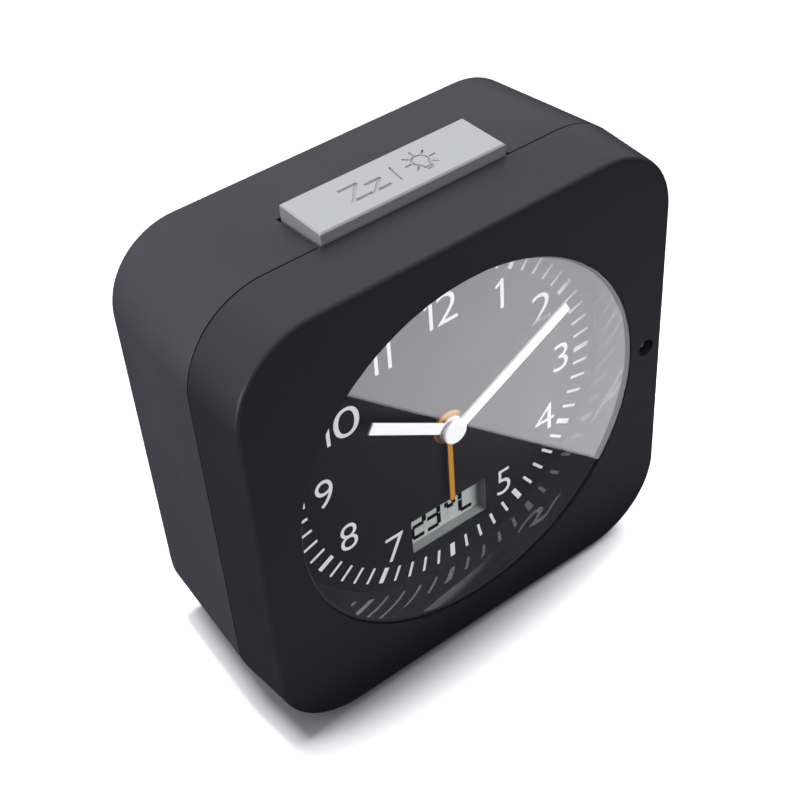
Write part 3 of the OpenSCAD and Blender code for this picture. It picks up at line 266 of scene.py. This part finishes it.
def smooth(piece, angle=35):
    """Smooth shading up to that angle in degrees, with the flat faces kept flat."""
    deselect()
    piece.select_set(True)
    bpy.context.view_layer.objects.active = piece
    bpy.ops.object.shade_smooth_by_angle(angle=math.radians(angle))
    flat = piece.modifiers.new("flat_faces", "WEIGHTED_NORMAL")
    flat.keep_sharp = True
    bpy.ops.object.modifier_apply(modifier=flat.name)


def dress(node, name, body, material, width=0.0, steps=3):
    """Piece that stands for a CAD node: its mesh merged, its sharp edges rounded to width."""
    deselect()
    nodes[node].select_set(True)
    bpy.context.view_layer.objects.active = nodes[node]
    bpy.ops.object.duplicate()
    piece = bpy.context.object
    bpy.ops.object.parent_clear(type="CLEAR_KEEP_TRANSFORM")
    piece.name = name
    for key in list(piece.keys()):
        del piece[key]
    bpy.ops.object.mode_set(mode="EDIT")
    bpy.ops.mesh.select_all(action="SELECT")
    bpy.ops.mesh.remove_doubles(threshold=WELD)
    bpy.ops.mesh.dissolve_limited(angle_limit=FLAT)
    bpy.ops.object.mode_set(mode="OBJECT")
    if width:
        edge = piece.modifiers.new("broken_edges", "BEVEL")
        edge.limit_method = "ANGLE"
        edge.angle_limit = SHARP
        edge.width = width
        edge.segments = steps
        bpy.ops.object.modifier_apply(modifier=edge.name)
    smooth(piece)
    piece.data.materials.clear()
    piece.data.materials.append(material)
    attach(piece, body)
    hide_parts(node)
    return piece


moulded_black = finish(
    "moulded_black", (0.0215, 0.02, 0.0272), 0.46, 5200, 0.012 * MM, shift=0.06, IOR=1.46
)
front_shell = dress("front_case", "front_shell", "case", moulded_black, 0.15 * MM)

# Rear shell: the same black plastic, screwed on from behind. It has the button's notch in its top
# wall, the wells of the two knobs, the battery bay and the sound holes. Two lamps on the left, one
# for each shell, give the casing's side its pale sheen.
rear_shell = dress("rear_case", "rear_shell", "case", moulded_black, 0.12 * MM)
softbox("left_box", (-0.65, 0.05, 0.09), (0, -90, 0), 0.4, 0.5, 8.5, [rear_shell])
softbox("left_fill", (-0.65, 0.06, 0.06), (0, -90, 0), 0.3, 0.16, 2.2, [front_shell])

# Lens: a flat disc of clear acrylic with a polished bevel. It is glued into the front shell by
# its rim, which is drawn dull black as painted shade in the gap round the lens: that is every face
# whose normal isn't near the lens's axis.
LENS_BEVEL, RIM_LIMIT = 0.04 * MM, 0.3
low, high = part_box("lens")
axis = Vector((0, 0, (low.z + high.z) / 2))
deselect()
bpy.ops.mesh.primitive_cylinder_add(
    vertices=160,
    radius=(high.x - low.x) / 2,
    depth=high.y - low.y,
    location=(0, (low.y + high.y) / 2, axis.z),
    rotation=(math.radians(90), 0, 0),
)
lens = bpy.context.object
lens.name = "lens_disc"
bpy.ops.object.transform_apply(location=True, rotation=True, scale=True)
edge = lens.modifiers.new("bevel", "BEVEL")
edge.limit_method = "ANGLE"
edge.width = LENS_BEVEL
edge.segments = 2
bpy.ops.object.modifier_apply(modifier=edge.name)
smooth(lens, 30)
acrylic = bpy.data.materials.new("clear_acrylic")
acrylic.use_nodes = True
tree = acrylic.node_tree
glass = tree.nodes["Principled BSDF"]
glass.inputs["Base Color"].default_value = (0.97, 0.975, 0.98, 1)
glass.inputs["Roughness"].default_value = 0.0
glass.inputs["IOR"].default_value = 1.49
glass.inputs["Transmission Weight"].default_value = 1.0
clear = tree.nodes.new("ShaderNodeBsdfTransparent")
path = tree.nodes.new("ShaderNodeLightPath")
either = tree.nodes.new("ShaderNodeMath")
either.operation = "MAXIMUM"
through = tree.nodes.new("ShaderNodeMixShader")
tree.links.new(path.outputs["Is Shadow Ray"], either.inputs[0])
tree.links.new(path.outputs["Is Diffuse Ray"], either.inputs[1])
tree.links.new(either.outputs[0], through.inputs["Fac"])
tree.links.new(glass.outputs[0], through.inputs[1])
tree.links.new(clear.outputs[0], through.inputs[2])
shape = tree.nodes.new("ShaderNodeNewGeometry")
parts = tree.nodes.new("ShaderNodeSeparateXYZ")
facing, rim = tree.nodes.new("ShaderNodeMath"), tree.nodes.new("ShaderNodeMath")
facing.operation, rim.operation = "ABSOLUTE", "LESS_THAN"
rim.inputs[1].default_value = RIM_LIMIT
# Painted shade: the rim faces are a dull black diffuse, drawn for the dark gap round the lens.
rim_painted_shade = tree.nodes.new("ShaderNodeBsdfDiffuse")
rim_painted_shade.inputs["Color"].default_value = (0.012, 0.012, 0.014, 1)
edged = tree.nodes.new("ShaderNodeMixShader")
tree.links.new(shape.outputs["True Normal"], parts.inputs[0])
tree.links.new(parts.outputs["Y"], facing.inputs[0])
tree.links.new(facing.outputs[0], rim.inputs[0])
tree.links.new(rim.outputs[0], edged.inputs["Fac"])
tree.links.new(through.outputs[0], edged.inputs[1])
tree.links.new(rim_painted_shade.outputs[0], edged.inputs[2])
tree.links.new(edged.outputs[0], tree.nodes["Material Output"].inputs["Surface"])
lens.data.materials.append(acrylic)
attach(lens, "case")
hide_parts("lens")

# Ring between lens and dial: black plastic with a high gloss, whose steep wall mirrors the
# minute track. The lens sits on its rim, and its foot stands on the dial. The wall is what lies
# inside the seat's radius, and each of its rows is brought to a straight slope.
RING_FOOT, RING_TOP, RING_SEAT = 39.2 * MM, 39.7 * MM, 40.12 * MM
SAME_ROW = 0.02 * MM
ring_gloss = finish(
    "ring_gloss", (0.024, 0.023, 0.029), 0.025, 900, 0.0003 * MM, spread=0.01, IOR=2.3
)
ring = dress("dial_ring", "dial_ring_gloss", "case", ring_gloss)
foot_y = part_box("dial")[0].y
rim_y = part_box("lens")[1].y


def reach(point):
    """Distance of a point from the hands' axis."""
    return math.hypot(point.x, point.z - axis.z)


wall = [v.index for v in ring.data.vertices if reach(v.co) < RING_SEAT]
for at in sorted({round(ring.data.vertices[i].co.y, 5) for i in wall}):
    row = [i for i in wall if abs(ring.data.vertices[i].co.y - at) < SAME_ROW]
    target = RING_TOP + (RING_FOOT - RING_TOP) * (at - rim_y) / (foot_y - rim_y)
    scale = target / reach(ring.data.vertices[row[0]].co)
    bpy.ops.object.mode_set(mode="EDIT")
    bpy.ops.mesh.select_mode(type="VERT")
    bpy.ops.mesh.select_all(action="DESELECT")
    bpy.ops.object.mode_set(mode="OBJECT")
    for i in row:
        ring.data.vertices[i].select = True
    bpy.ops.object.mode_set(mode="EDIT")
    bpy.ops.transform.resize(value=(scale, 1, scale), center_override=(0, at, axis.z))
    bpy.ops.object.mode_set(mode="OBJECT")
smooth(ring)

# Dial: a thin sheet with a satin black print, held by the ring against the inner frame. The
# display's window is cut out of it, and its white print follows as pieces of their own.
dial_black = finish("dial_black", (0.031, 0.0295, 0.0385), 0.55, 2600, 0.004 * MM, IOR=1.45)
dial = dress("dial", "dial_sheet", "case", dial_black)

# Minute track: sixty strokes of white ink near the dial's edge, thicker at each hour. Like all
# the dial's print they are screened on the sheet and stand a hair proud of it.
dial_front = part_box("dial")[0].y
print_white = finish("print_white", (0.6, 0.6, 0.61), 0.5, 3000, 0.003 * MM, shift=0.03)
TRACK_IN, TRACK_OUT = 33.5 * MM, 37.25 * MM
THIN, THICK = 0.65 * MM, 1.2 * MM
INK = 0.03 * MM


def new_mesh(name):
    """Empty mesh object, open in edit mode."""
    deselect()
    bpy.ops.mesh.primitive_plane_add(size=1)
    piece = bpy.context.object
    piece.name = name
    bpy.ops.object.mode_set(mode="EDIT")
    bpy.ops.mesh.select_all(action="SELECT")
    bpy.ops.mesh.delete(type="VERT")
    return piece


def strip(start, end, width, low, high, up="Y"):
    """Block in edit mode from start to end, as wide as width and from low to high along up.

    With up="Y" the points are x and z on an upright plane, with up="Z" they are x and y.
    """
    middle = [(a + b) / 2 for a, b in zip(start, end)]
    across, along = end[0] - start[0], end[1] - start[1]
    if up == "Y":
        place = (middle[0], (low + high) / 2, middle[1])
        sizes, turn = (width, high - low, math.hypot(across, along)), math.atan2(across, along)
    else:
        place = (middle[0], middle[1], (low + high) / 2)
        sizes, turn = (width, math.hypot(across, along), high - low), -math.atan2(across, along)
    bpy.ops.mesh.primitive_cube_add(size=1, location=place)
    bpy.ops.transform.resize(value=sizes, center_override=place)
    if turn:
        bpy.ops.transform.rotate(value=-turn, orient_axis=up, center_override=place)


def close_mesh(piece, material, body):
    """End of a mesh begun by new_mesh: its faces turned outwards, its material and its body."""
    bpy.ops.mesh.select_all(action="SELECT")
    bpy.ops.mesh.normals_make_consistent(inside=False)
    bpy.ops.object.mode_set(mode="OBJECT")
    piece.data.materials.append(material)
    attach(piece, body)


minute_track = new_mesh("minute_track")
for minute in range(60):
    across, up = math.sin(math.radians(6 * minute)), math.cos(math.radians(6 * minute))
    ends = [(r * across, axis.z + r * up) for r in (TRACK_IN, TRACK_OUT)]
    strip(*ends, THIN if minute % 5 else THICK, dial_front - INK, dial_front + INK / 2)
close_mesh(minute_track, print_white, "case")

# Numerals: upright white figures printed inside the track, each one a flat skin of ink. The
# display takes the place of the six. Their places are in millimetres from the hands' axis.
FIGURE_H, FIGURE_GAP, FIGURE_THINNED = 6.9 * MM, 0.95 * MM, 0.09 * MM
ONE_STROKE, ONE_FLAG, FLAG_STROKE = 0.8 * MM, 1.5 * MM, 0.64 * MM
PLACES = {
    12: (0.2, 27.9), 1: (14.2, 24.2), 2: (24.7, 15.8), 3: (29.9, 0.3), 4: (25.6, -13.9),
    5: (14.2, -24.7), 7: (-14.3, -24.7), 8: (-24.8, -14.3), 9: (-29.0, 0.1), 10: (-24.0, 14.2),
    11: (-14.0, 24.5),
}
WIDTHS = {"0": 1.35, "2": 1.15, "3": 1.1, "4": 1.15, "5": 0.95, "7": 1.05, "8": 0.95, "9": 0.95}


def extent(piece, i):
    """Lowest and highest place of a piece along its axis i."""
    places = [vertex.co[i] for vertex in piece.data.vertices]
    return min(places), max(places)


def figure_one():
    """A one with a flag, which the built-in font draws without."""
    piece = new_mesh("figure_one")
    strip((0, 0), (0, FIGURE_H), ONE_STROKE, -INK, INK / 2)
    start, end = (0, FIGURE_H - ONE_STROKE / 2), (-ONE_FLAG, FIGURE_H - ONE_FLAG)
    strip(start, end, FLAG_STROKE, -INK * 0.99, INK / 2)
    bpy.ops.object.mode_set(mode="OBJECT")
    return piece


def figure(sign):
    """A figure of the built-in font, thinned and brought to the dial's height and width."""
    deselect()
    bpy.ops.object.text_add(rotation=(math.radians(90), 0, 0))
    piece = bpy.context.object
    piece.data.body = sign
    piece.data.size = 10 * MM
    piece.data.offset = -FIGURE_THINNED
    piece.data.extrude = INK * 0.75
    bpy.ops.object.convert(target="MESH")
    bpy.ops.object.transform_apply(location=True, rotation=True, scale=True)
    low, high = extent(piece, 2)
    scale = FIGURE_H / (high - low)
    bpy.ops.object.mode_set(mode="EDIT")
    bpy.ops.mesh.select_all(action="SELECT")
    bpy.ops.transform.translate(value=(0, -INK / 4, -low))
    wide = scale * WIDTHS[sign]
    bpy.ops.transform.resize(value=(wide, 1, scale), center_override=(0, 0, 0))
    bpy.ops.mesh.remove_doubles(threshold=WELD)
    bpy.ops.object.mode_set(mode="OBJECT")
    return piece


figures = []
for hour, (x, z) in PLACES.items():
    signs = [figure_one() if sign == "1" else figure(sign) for sign in str(hour)]
    spans = [extent(sign, 0) for sign in signs]
    total = sum(high - low for low, high in spans) + FIGURE_GAP * (len(signs) - 1)
    left = x * MM - total / 2
    foot = axis.z + z * MM - FIGURE_H / 2
    for sign, (low, high) in zip(signs, spans):
        deselect()
        sign.select_set(True)
        bpy.context.view_layer.objects.active = sign
        bpy.ops.transform.translate(value=(left - low, dial_front, foot))
        bpy.ops.object.transform_apply(location=True, rotation=True, scale=True)
        left += high - low + FIGURE_GAP
        figures.append(sign)
deselect()
for sign in figures:
    sign.select_set(True)
bpy.context.view_layer.objects.active = figures[0]
bpy.ops.object.join()
numerals = bpy.context.object
numerals.name = "numerals"
numerals.data.materials.append(print_white)
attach(numerals, "case")

# Display: a grey plastic frame behind the dial's window, and in it the liquid crystal glass with
# black segments. They show the room's temperature, two figures, a degree sign and a C.
display_grey = finish("display_grey", (0.24, 0.256, 0.248), 0.5, 3000, 0.004 * MM)
display_frame = dress("lcd_frame", "display_frame", "case", display_grey, 0.1 * MM)
crystal = finish("crystal_grey", (0.36, 0.394, 0.376), 0.3, 1500, 0.002 * MM, shift=0.05)
display_glass = dress("lcd_glass", "display_glass", "case", crystal, 0.1 * MM)
glass_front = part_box("lcd_glass")[0].y
segment_black = finish(
    "segment_black", (0.001, 0.001, 0.0012), 0.5, 2500, 0.001 * MM, Specular_IOR_Level=0.05
)
segments = new_mesh("display_segments")
BASE_Z, DIGIT_H, DIGIT_W, SEGMENT, SEGMENT_GAP = -29.5, 6.3, 3.1, 1.05, 0.12
DEGREE_H, DEGREE_W = 3.05, 1.9
SEGMENT_SUNK, SEGMENT_PROUD = 0.02 * MM, 0.01 * MM


def segment(x0, z0, x1, z1):
    """Segment between two points, in millimetres from the hands' axis."""
    cut = SEGMENT_GAP / math.hypot(x1 - x0, z1 - z0)
    start = (x0 + (x1 - x0) * cut) * MM, axis.z + (z0 + (z1 - z0) * cut) * MM
    end = (x1 + (x0 - x1) * cut) * MM, axis.z + (z1 + (z0 - z1) * cut) * MM
    strip(start, end, SEGMENT * MM, glass_front - SEGMENT_SUNK, glass_front + SEGMENT_PROUD)


def digit(x, lit, base=BASE_Z, high=DIGIT_H, wide=DIGIT_W):
    """Seven-segment figure whose left side is at x; lit names the segments that are on."""
    top, mid = base + high, base + high / 2
    ends = {
        "a": (x, top, x + wide, top), "b": (x + wide, mid, x + wide, top),
        "c": (x + wide, base, x + wide, mid), "d": (x, base, x + wide, base),
        "e": (x, base, x, mid), "f": (x, mid, x, top), "g": (x, mid, x + wide, mid),
    }
    for key in lit:
        segment(*ends[key])


digit(-7.7, "abged")
digit(-3.9, "abgcd")
digit(1.3, "abcdef", BASE_Z + DIGIT_H - DEGREE_H, DEGREE_H, DEGREE_W)
digit(4.9, "adef")
close_mesh(segments, segment_black, "case")

# Hands: stamped from thin sheet, painted, and pushed on their arbors. Minute and hour hand are
# white, and the thin alarm hand below them is orange.
hand_white = finish("hand_white", (0.88, 0.88, 0.89), 0.4, 2500, 0.004 * MM, shift=0.03)
hand_orange = finish("hand_orange", (0.44, 0.205, 0.022), 0.42, 2500, 0.004 * MM)
painted = []
for node, body, paint, slot_name in (
    ("minute_hand", "minute", hand_white, "hand_white"),
    ("hour_hand", "hour", hand_white, "hand_white"),
    ("alarm_hand", "alarm", hand_orange, "hand_orange"),
):
    painted.append(dress(node, node + "_painted", body, paint, 0.12 * MM))

# Snooze button: a silver lacquered slab in the top wall's notch. The signs for snooze and for
# the dial's lamp are sunk into its top: two Zs, a rule and a shining bulb.
silver = finish(
    "silver_lacquer", (0.56, 0.565, 0.575), 0.42, 6000, 0.006 * MM, shift=0.02, Metallic=0.35
)
button = dress("snooze_button", "snooze_bar", "snooze", silver, 0.1 * MM)
button_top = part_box("snooze_button")[1].z
SIGN_DEPTH = 0.4 * MM
BROAD, FINE = 0.72, 0.4
Z_LEFT_LEAN, Z_RIGHT_LEAN = 0.1, 0.35
BULB, BULB_R, RAY_IN, RAY_OUT = (5.85, -1.75), 1.6, 2.2, 3.2
SOCKET = ((-0.75, -2.35), (-0.45, -3.1), (0.45, -3.1), (0.75, -2.35))
cutter = new_mesh("sign_cutter")
lines = []
for x0, x1, y1, y0 in ((-10.6, -7.1, 0.1, -4.05), (-5.85, -3.0, -1.3, -4.1)):
    corners = ((x0, y1), (x1, y1), (x0 + Z_LEFT_LEAN, y0), (x1 + Z_RIGHT_LEAN, y0))
    lines += [(*ends, BROAD) for ends in zip(corners, corners[1:])]
lines.append(((0.35, 0), (-0.3, -4.3), FINE))
arc = [math.radians(angle) for angle in range(-54, 235, 24)]
glass = [(BULB[0] + BULB_R * math.cos(a), BULB[1] + BULB_R * math.sin(a)) for a in arc]
socket = [(BULB[0] + x, BULB[1] + y) for x, y in SOCKET]
outline = glass + socket + glass[:1]
lines += [(*ends, FINE) for ends in zip(outline, outline[1:])]
lines.append((socket[0], socket[3], FINE))
for angle in range(-45, 226, 45):
    ray = math.cos(math.radians(angle)), math.sin(math.radians(angle))
    ends = [(BULB[0] + r * ray[0], BULB[1] + r * ray[1]) for r in (RAY_IN, RAY_OUT)]
    lines.append((*ends, FINE))
for (x0, y0), (x1, y1), width in lines:
    over = width / 2 / math.hypot(x1 - x0, y1 - y0)
    start = (x0 - (x1 - x0) * over) * MM, (y0 - (y1 - y0) * over) * MM
    end = (x1 + (x1 - x0) * over) * MM, (y1 + (y1 - y0) * over) * MM
    strip(start, end, width * MM, button_top - SIGN_DEPTH, button_top + SIGN_DEPTH, "Z")
bpy.ops.object.mode_set(mode="OBJECT")
deselect()
button.select_set(True)
bpy.context.view_layer.objects.active = button
sunk = button.modifiers.new("signs", "BOOLEAN")
sunk.operation = "DIFFERENCE"
sunk.solver = "EXACT"
sunk.use_self = True
sunk.object = cutter
bpy.ops.object.modifier_apply(modifier=sunk.name)
bpy.data.objects.remove(cutter)
smooth(button)
softbox("button_box", (-0.65, 0, 0.1), (0, -90, 0), 0.4, 0.4, 0.8, [button])

# Light sensor: a small polished dome of resin over a dark chip. It sits at the bottom of its hole
# in the front face and tells the clock when to light its dial.
sensor_clear = finish("sensor_clear", (0.03, 0.028, 0.025), 0.1, 900, 0.001 * MM)
sensor = dress("light_sensor", "light_sensor_dome", "case", sensor_clear)

# Setting knobs: moulded knobs with a fluted rim, pushed on the ends of their shafts from behind.
# Each one stands in a round well, so that it isn't turned by chance.
knob_black = finish("knob_black", (0.026, 0.0255, 0.029), 0.4, 4500, 0.008 * MM, IOR=1.46)
for node, body in (("time_knob", "time_setting"), ("alarm_knob", "alarm_setting")):
    knob = dress(node, node + "_fluted", body, knob_black, 0.14 * MM, 2)

# Alarm slider: a ribbed tab of the knobs' plastic that sits on the switch inside. It moves in its
# slot in the back and switches the alarm on and off.
slider_tab = dress("alarm_slider", "alarm_slider_tab", "slider", knob_black, 0.1 * MM, 2)

# Battery door: a leaf of the casing's plastic over the bay. It is hinged at its lower edge and
# has grip ribs below its catch.
door_leaf = dress("battery_door", "battery_door_leaf", "door", moulded_black, 0.1 * MM, 2)

# Soles: four soft rubber discs with a rounded rim, glued into the bottom. They keep the clock
# from sliding.
sole_rubber = finish("sole_rubber", (0.03, 0.03, 0.031), 0.8, 2500, 0.03 * MM)
soles = dress("feet", "foot_soles", "case", sole_rubber, 0.15 * MM)

# Signs on the back: pad printed in pale grey. A clock face and a bell stand over their knobs, a
# turning arrow under each one, and the two words beside the slider. ON has the higher x, which
# lies on the left from behind.
BACK_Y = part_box("rear_case")[1].y
SIGN_W, SIGN_RISE, ARROW_R = 0.35 * MM, 10.6 * MM, 9.3
WORDS, WORD_SIZE = (("OFF", -8.3 * MM), ("ON", 7.9 * MM)), 2.94 * MM
print_grey = finish("print_grey", (0.42, 0.42, 0.43), 0.5, 3000, 0.003 * MM)
rear_signs = new_mesh("rear_signs")


def stroke(x, z, points):
    """Printed line through points, given in millimetres from x and z."""
    places = [(x + a * MM, z + b * MM) for a, b in points]
    for start, end in zip(places, places[1:]):
        strip(start, end, SIGN_W, BACK_Y - INK / 2, BACK_Y + INK / 3)


def arc_points(radius, first, last, steps):
    """Points on an arc round the origin between two angles in degrees."""
    turns = [math.radians(first + (last - first) * i / steps) for i in range(steps + 1)]
    return [(radius * math.cos(a), radius * math.sin(a)) for a in turns]


for node in ("time_knob", "alarm_knob"):
    low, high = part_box(node)
    x, z = (low.x + high.x) / 2, (low.z + high.z) / 2
    sweep = arc_points(ARROW_R, -125, -55, 12)
    stroke(x, z, sweep)
    tip = sweep[0]
    stroke(x, z, [(tip[0] + 0.1, tip[1] - 1.3), tip, (tip[0] + 1.35, tip[1] + 0.15)])
    top = z + SIGN_RISE
    if node == "time_knob":
        stroke(x, top, arc_points(2.2, 0, 360, 20))
        stroke(x, top, [(0, 1.5), (0, 0), (-1.1, -0.5)])
    else:
        crown = arc_points(1.4, 180, 0, 8)
        stroke(x, top, [(-2.1, -1.5), (-1.4, -0.6), *crown, (1.4, -0.6), (2.1, -1.5), (-2.1, -1.5)])
        stroke(x, top, [(0, 1.4), (0, 2.0)])
        stroke(x, top, [(-0.5, -2.1), (0.5, -2.1)])
bpy.ops.object.mode_set(mode="OBJECT")
low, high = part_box("alarm_slider")
words = [rear_signs]
for text, x in WORDS:
    deselect()
    bpy.ops.object.text_add(
        location=(x, BACK_Y - INK / 8, (low.z + high.z) / 2),
        rotation=(math.radians(90), 0, math.radians(180)),
    )
    word = bpy.context.object
    word.data.body = text
    word.data.size = WORD_SIZE
    word.data.align_x = word.data.align_y = "CENTER"
    word.data.extrude = INK / 3
    bpy.ops.object.convert(target="MESH")
    bpy.ops.object.transform_apply(location=True, rotation=True, scale=True)
    words.append(word)
deselect()
for piece in words:
    piece.select_set(True)
bpy.context.view_layer.objects.active = rear_signs
bpy.ops.object.join()
bpy.ops.object.mode_set(mode="EDIT")
close_mesh(rear_signs, print_grey, "case")

# Dome under the button: a silicone dome that stands on the button's board and springs it back.
# It gets a mesh of its own.
dome_rubber = finish("dome_rubber", (0.6, 0.57, 0.5), 0.6)
dome = dress("snooze_dome", "snooze_spring_dome", "case", dome_rubber)
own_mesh(dome)

# Cell: a steel can in a black printed sleeve with a gold end towards the plus pole. The can shows
# bare at both ends. Sleeve, gold and bare end start at these parts of its length.
SLEEVE_START, GOLD_START, SLEEVE_END = 0.012, 0.72, 0.965
low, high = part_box("battery")
cell_wrap = finish("cell_wrap", None, 0.3, 2000, 0.002 * MM)
tree = cell_wrap.node_tree
shader = tree.nodes["Principled BSDF"]
place = tree.nodes.new("ShaderNodeTexCoord")
parts = tree.nodes.new("ShaderNodeSeparateXYZ")
along = tree.nodes.new("ShaderNodeMapRange")
along.inputs["From Min"].default_value = low.x
along.inputs["From Max"].default_value = high.x
tree.links.new(place.outputs["Object"], parts.inputs[0])
tree.links.new(parts.outputs["X"], along.inputs["Value"])
for socket, bands in (
    ("Base Color", ((0.5, 0.5, 0.51), (0.01, 0.01, 0.011), (0.5, 0.22, 0.05), (0.5, 0.5, 0.51))),
    ("Metallic", ((1, 1, 1), (0, 0, 0), (0.7, 0.7, 0.7), (1, 1, 1))),
):
    ramp = tree.nodes.new("ShaderNodeValToRGB")
    ramp.color_ramp.interpolation = "CONSTANT"
    for i, (at, colour) in enumerate(zip((0, SLEEVE_START, GOLD_START, SLEEVE_END), bands)):
        stop = ramp.color_ramp.elements[i] if i < 2 else ramp.color_ramp.elements.new(at)
        stop.position = at
        stop.color = (*colour, 1)
    tree.links.new(along.outputs["Result"], ramp.inputs["Fac"])
    tree.links.new(ramp.outputs["Color"], shader.inputs[socket])

# Coil: enamelled copper wire in close turns, wound on the core that joins the stator's ends. The
# turns take the place of the grain.
TURNS, WIRE_RELIEF = 1500, 0.04 * MM
coil_copper = finish("coil_copper", (0.45, 0.15, 0.04), 0.32, Metallic=0.7)
tree = coil_copper.node_tree
place = tree.nodes.new("ShaderNodeTexCoord")
turns = tree.nodes.new("ShaderNodeTexWave")
turns.bands_direction = "X"
turns.inputs["Scale"].default_value = TURNS
tree.links.new(place.outputs["Object"], turns.inputs["Vector"])
relief = tree.nodes["Bump"]
relief.inputs["Distance"].default_value = WIRE_RELIEF
tree.links.new(turns.outputs["Fac"], relief.inputs["Height"])

# Circuit boards: glass cloth with green lacquer over copper tracks, which show as paler lines.
# The main board is screwed to the inner frame, and the button's board lies on its bracket.
TRACK_W, TRACK_LENGTH, TRACK_PITCH = 0.18 * MM, 5.2 * MM, 1.3 * MM
circuit_board = finish("circuit_board", None, 0.3)
tree = circuit_board.node_tree
place = tree.nodes.new("ShaderNodeTexCoord")
parts = tree.nodes.new("ShaderNodeSeparateXYZ")
flat = tree.nodes.new("ShaderNodeCombineXYZ")
height = tree.nodes.new("ShaderNodeMath")
tracks = tree.nodes.new("ShaderNodeTexBrick")
for socket, value in (
    ("Color1", (0.012, 0.085, 0.032, 1)), ("Color2", (0.016, 0.1, 0.04, 1)),
    ("Mortar", (0.04, 0.2, 0.08, 1)), ("Scale", 1), ("Mortar Size", TRACK_W),
    ("Mortar Smooth", 0.1), ("Brick Width", TRACK_LENGTH), ("Row Height", TRACK_PITCH),
):
    tracks.inputs[socket].default_value = value
tree.links.new(place.outputs["Object"], parts.inputs[0])
tree.links.new(parts.outputs["Y"], height.inputs[0])
tree.links.new(parts.outputs["Z"], height.inputs[1])
tree.links.new(parts.outputs["X"], flat.inputs["X"])
tree.links.new(height.outputs[0], flat.inputs["Y"])
tree.links.new(flat.outputs[0], tracks.inputs["Vector"])
tree.links.new(tracks.outputs["Color"], tree.nodes["Principled BSDF"].inputs["Base Color"])

# Movement, contacts and the other inner parts keep their CAD form and take a finish of their
# own: moulded plastics, nickelled steel, brass, a sintered magnet and conductive rubber.
finishes = {
    "steel": finish("nickel_steel", (0.55, 0.55, 0.56), 0.28, 1800, 0.004 * MM, Metallic=1.0),
    "inner_plastic": finish("inner_plastic", (0.05, 0.05, 0.055), 0.5),
    "contact_rubber": finish("contact_rubber", (0.5, 0.35, 0.38), 0.6),
    "circuit_board": circuit_board,
    "sensor_bead": finish("sensor_bead", (0.12, 0.03, 0.01), 0.3, 2500),
    "gear_ivory": finish("gear_ivory", (0.7, 0.66, 0.55), 0.45, 3500, 0.006 * MM),
    "rotor_magnet": finish("rotor_magnet", (0.06, 0.06, 0.065), 0.35, 7000, Metallic=0.5),
    "arbor_brass": finish("arbor_brass", (0.7, 0.5, 0.2), 0.25, 1800, Metallic=1.0),
    "movement_white": finish("movement_white", (0.62, 0.62, 0.58), 0.5),
    "coil_copper": coil_copper,
    "buzzer_black": finish("buzzer_black", (0.012, 0.012, 0.012), 0.4),
    "cell_wrap": cell_wrap,
}
for part in frame["record"]["subparts"]:
    piece = nodes[part["node"]]
    if not piece.hide_render:
        piece.data.materials.clear()
        piece.data.materials.append(finishes[part["material_slot"]])

# Lamps before the clock. A bright card lies on the table, and the lens and the sensor mirror it. A
# wide, weak card before it gives the front plate its faint, even sheen. The hands, the dial's
# print, the display and the ring are lit through the lens from the right.
table_card = softbox(
    "table_card", (0.0752, -0.0902, 0.002), (180, 0, -28.3), 0.09, 0.12, 0.087, [lens, sensor]
)
table_card.data.color = (0.985, 0.97, 1)
face_card = softbox(
    "face_card", (0.02, -0.19, 0.002), (180, 0, 0), 0.4, 0.32, 0.085, [front_shell]
)
face_card.data.color = (0.88, 0.84, 1)
under_lens = [minute_track, numerals, display_frame, display_glass, ring] + painted
softbox("dial_box", (0.3, -0.6, 0.35), (66, 0, 26.6), 0.4, 0.4, 7.5, under_lens)
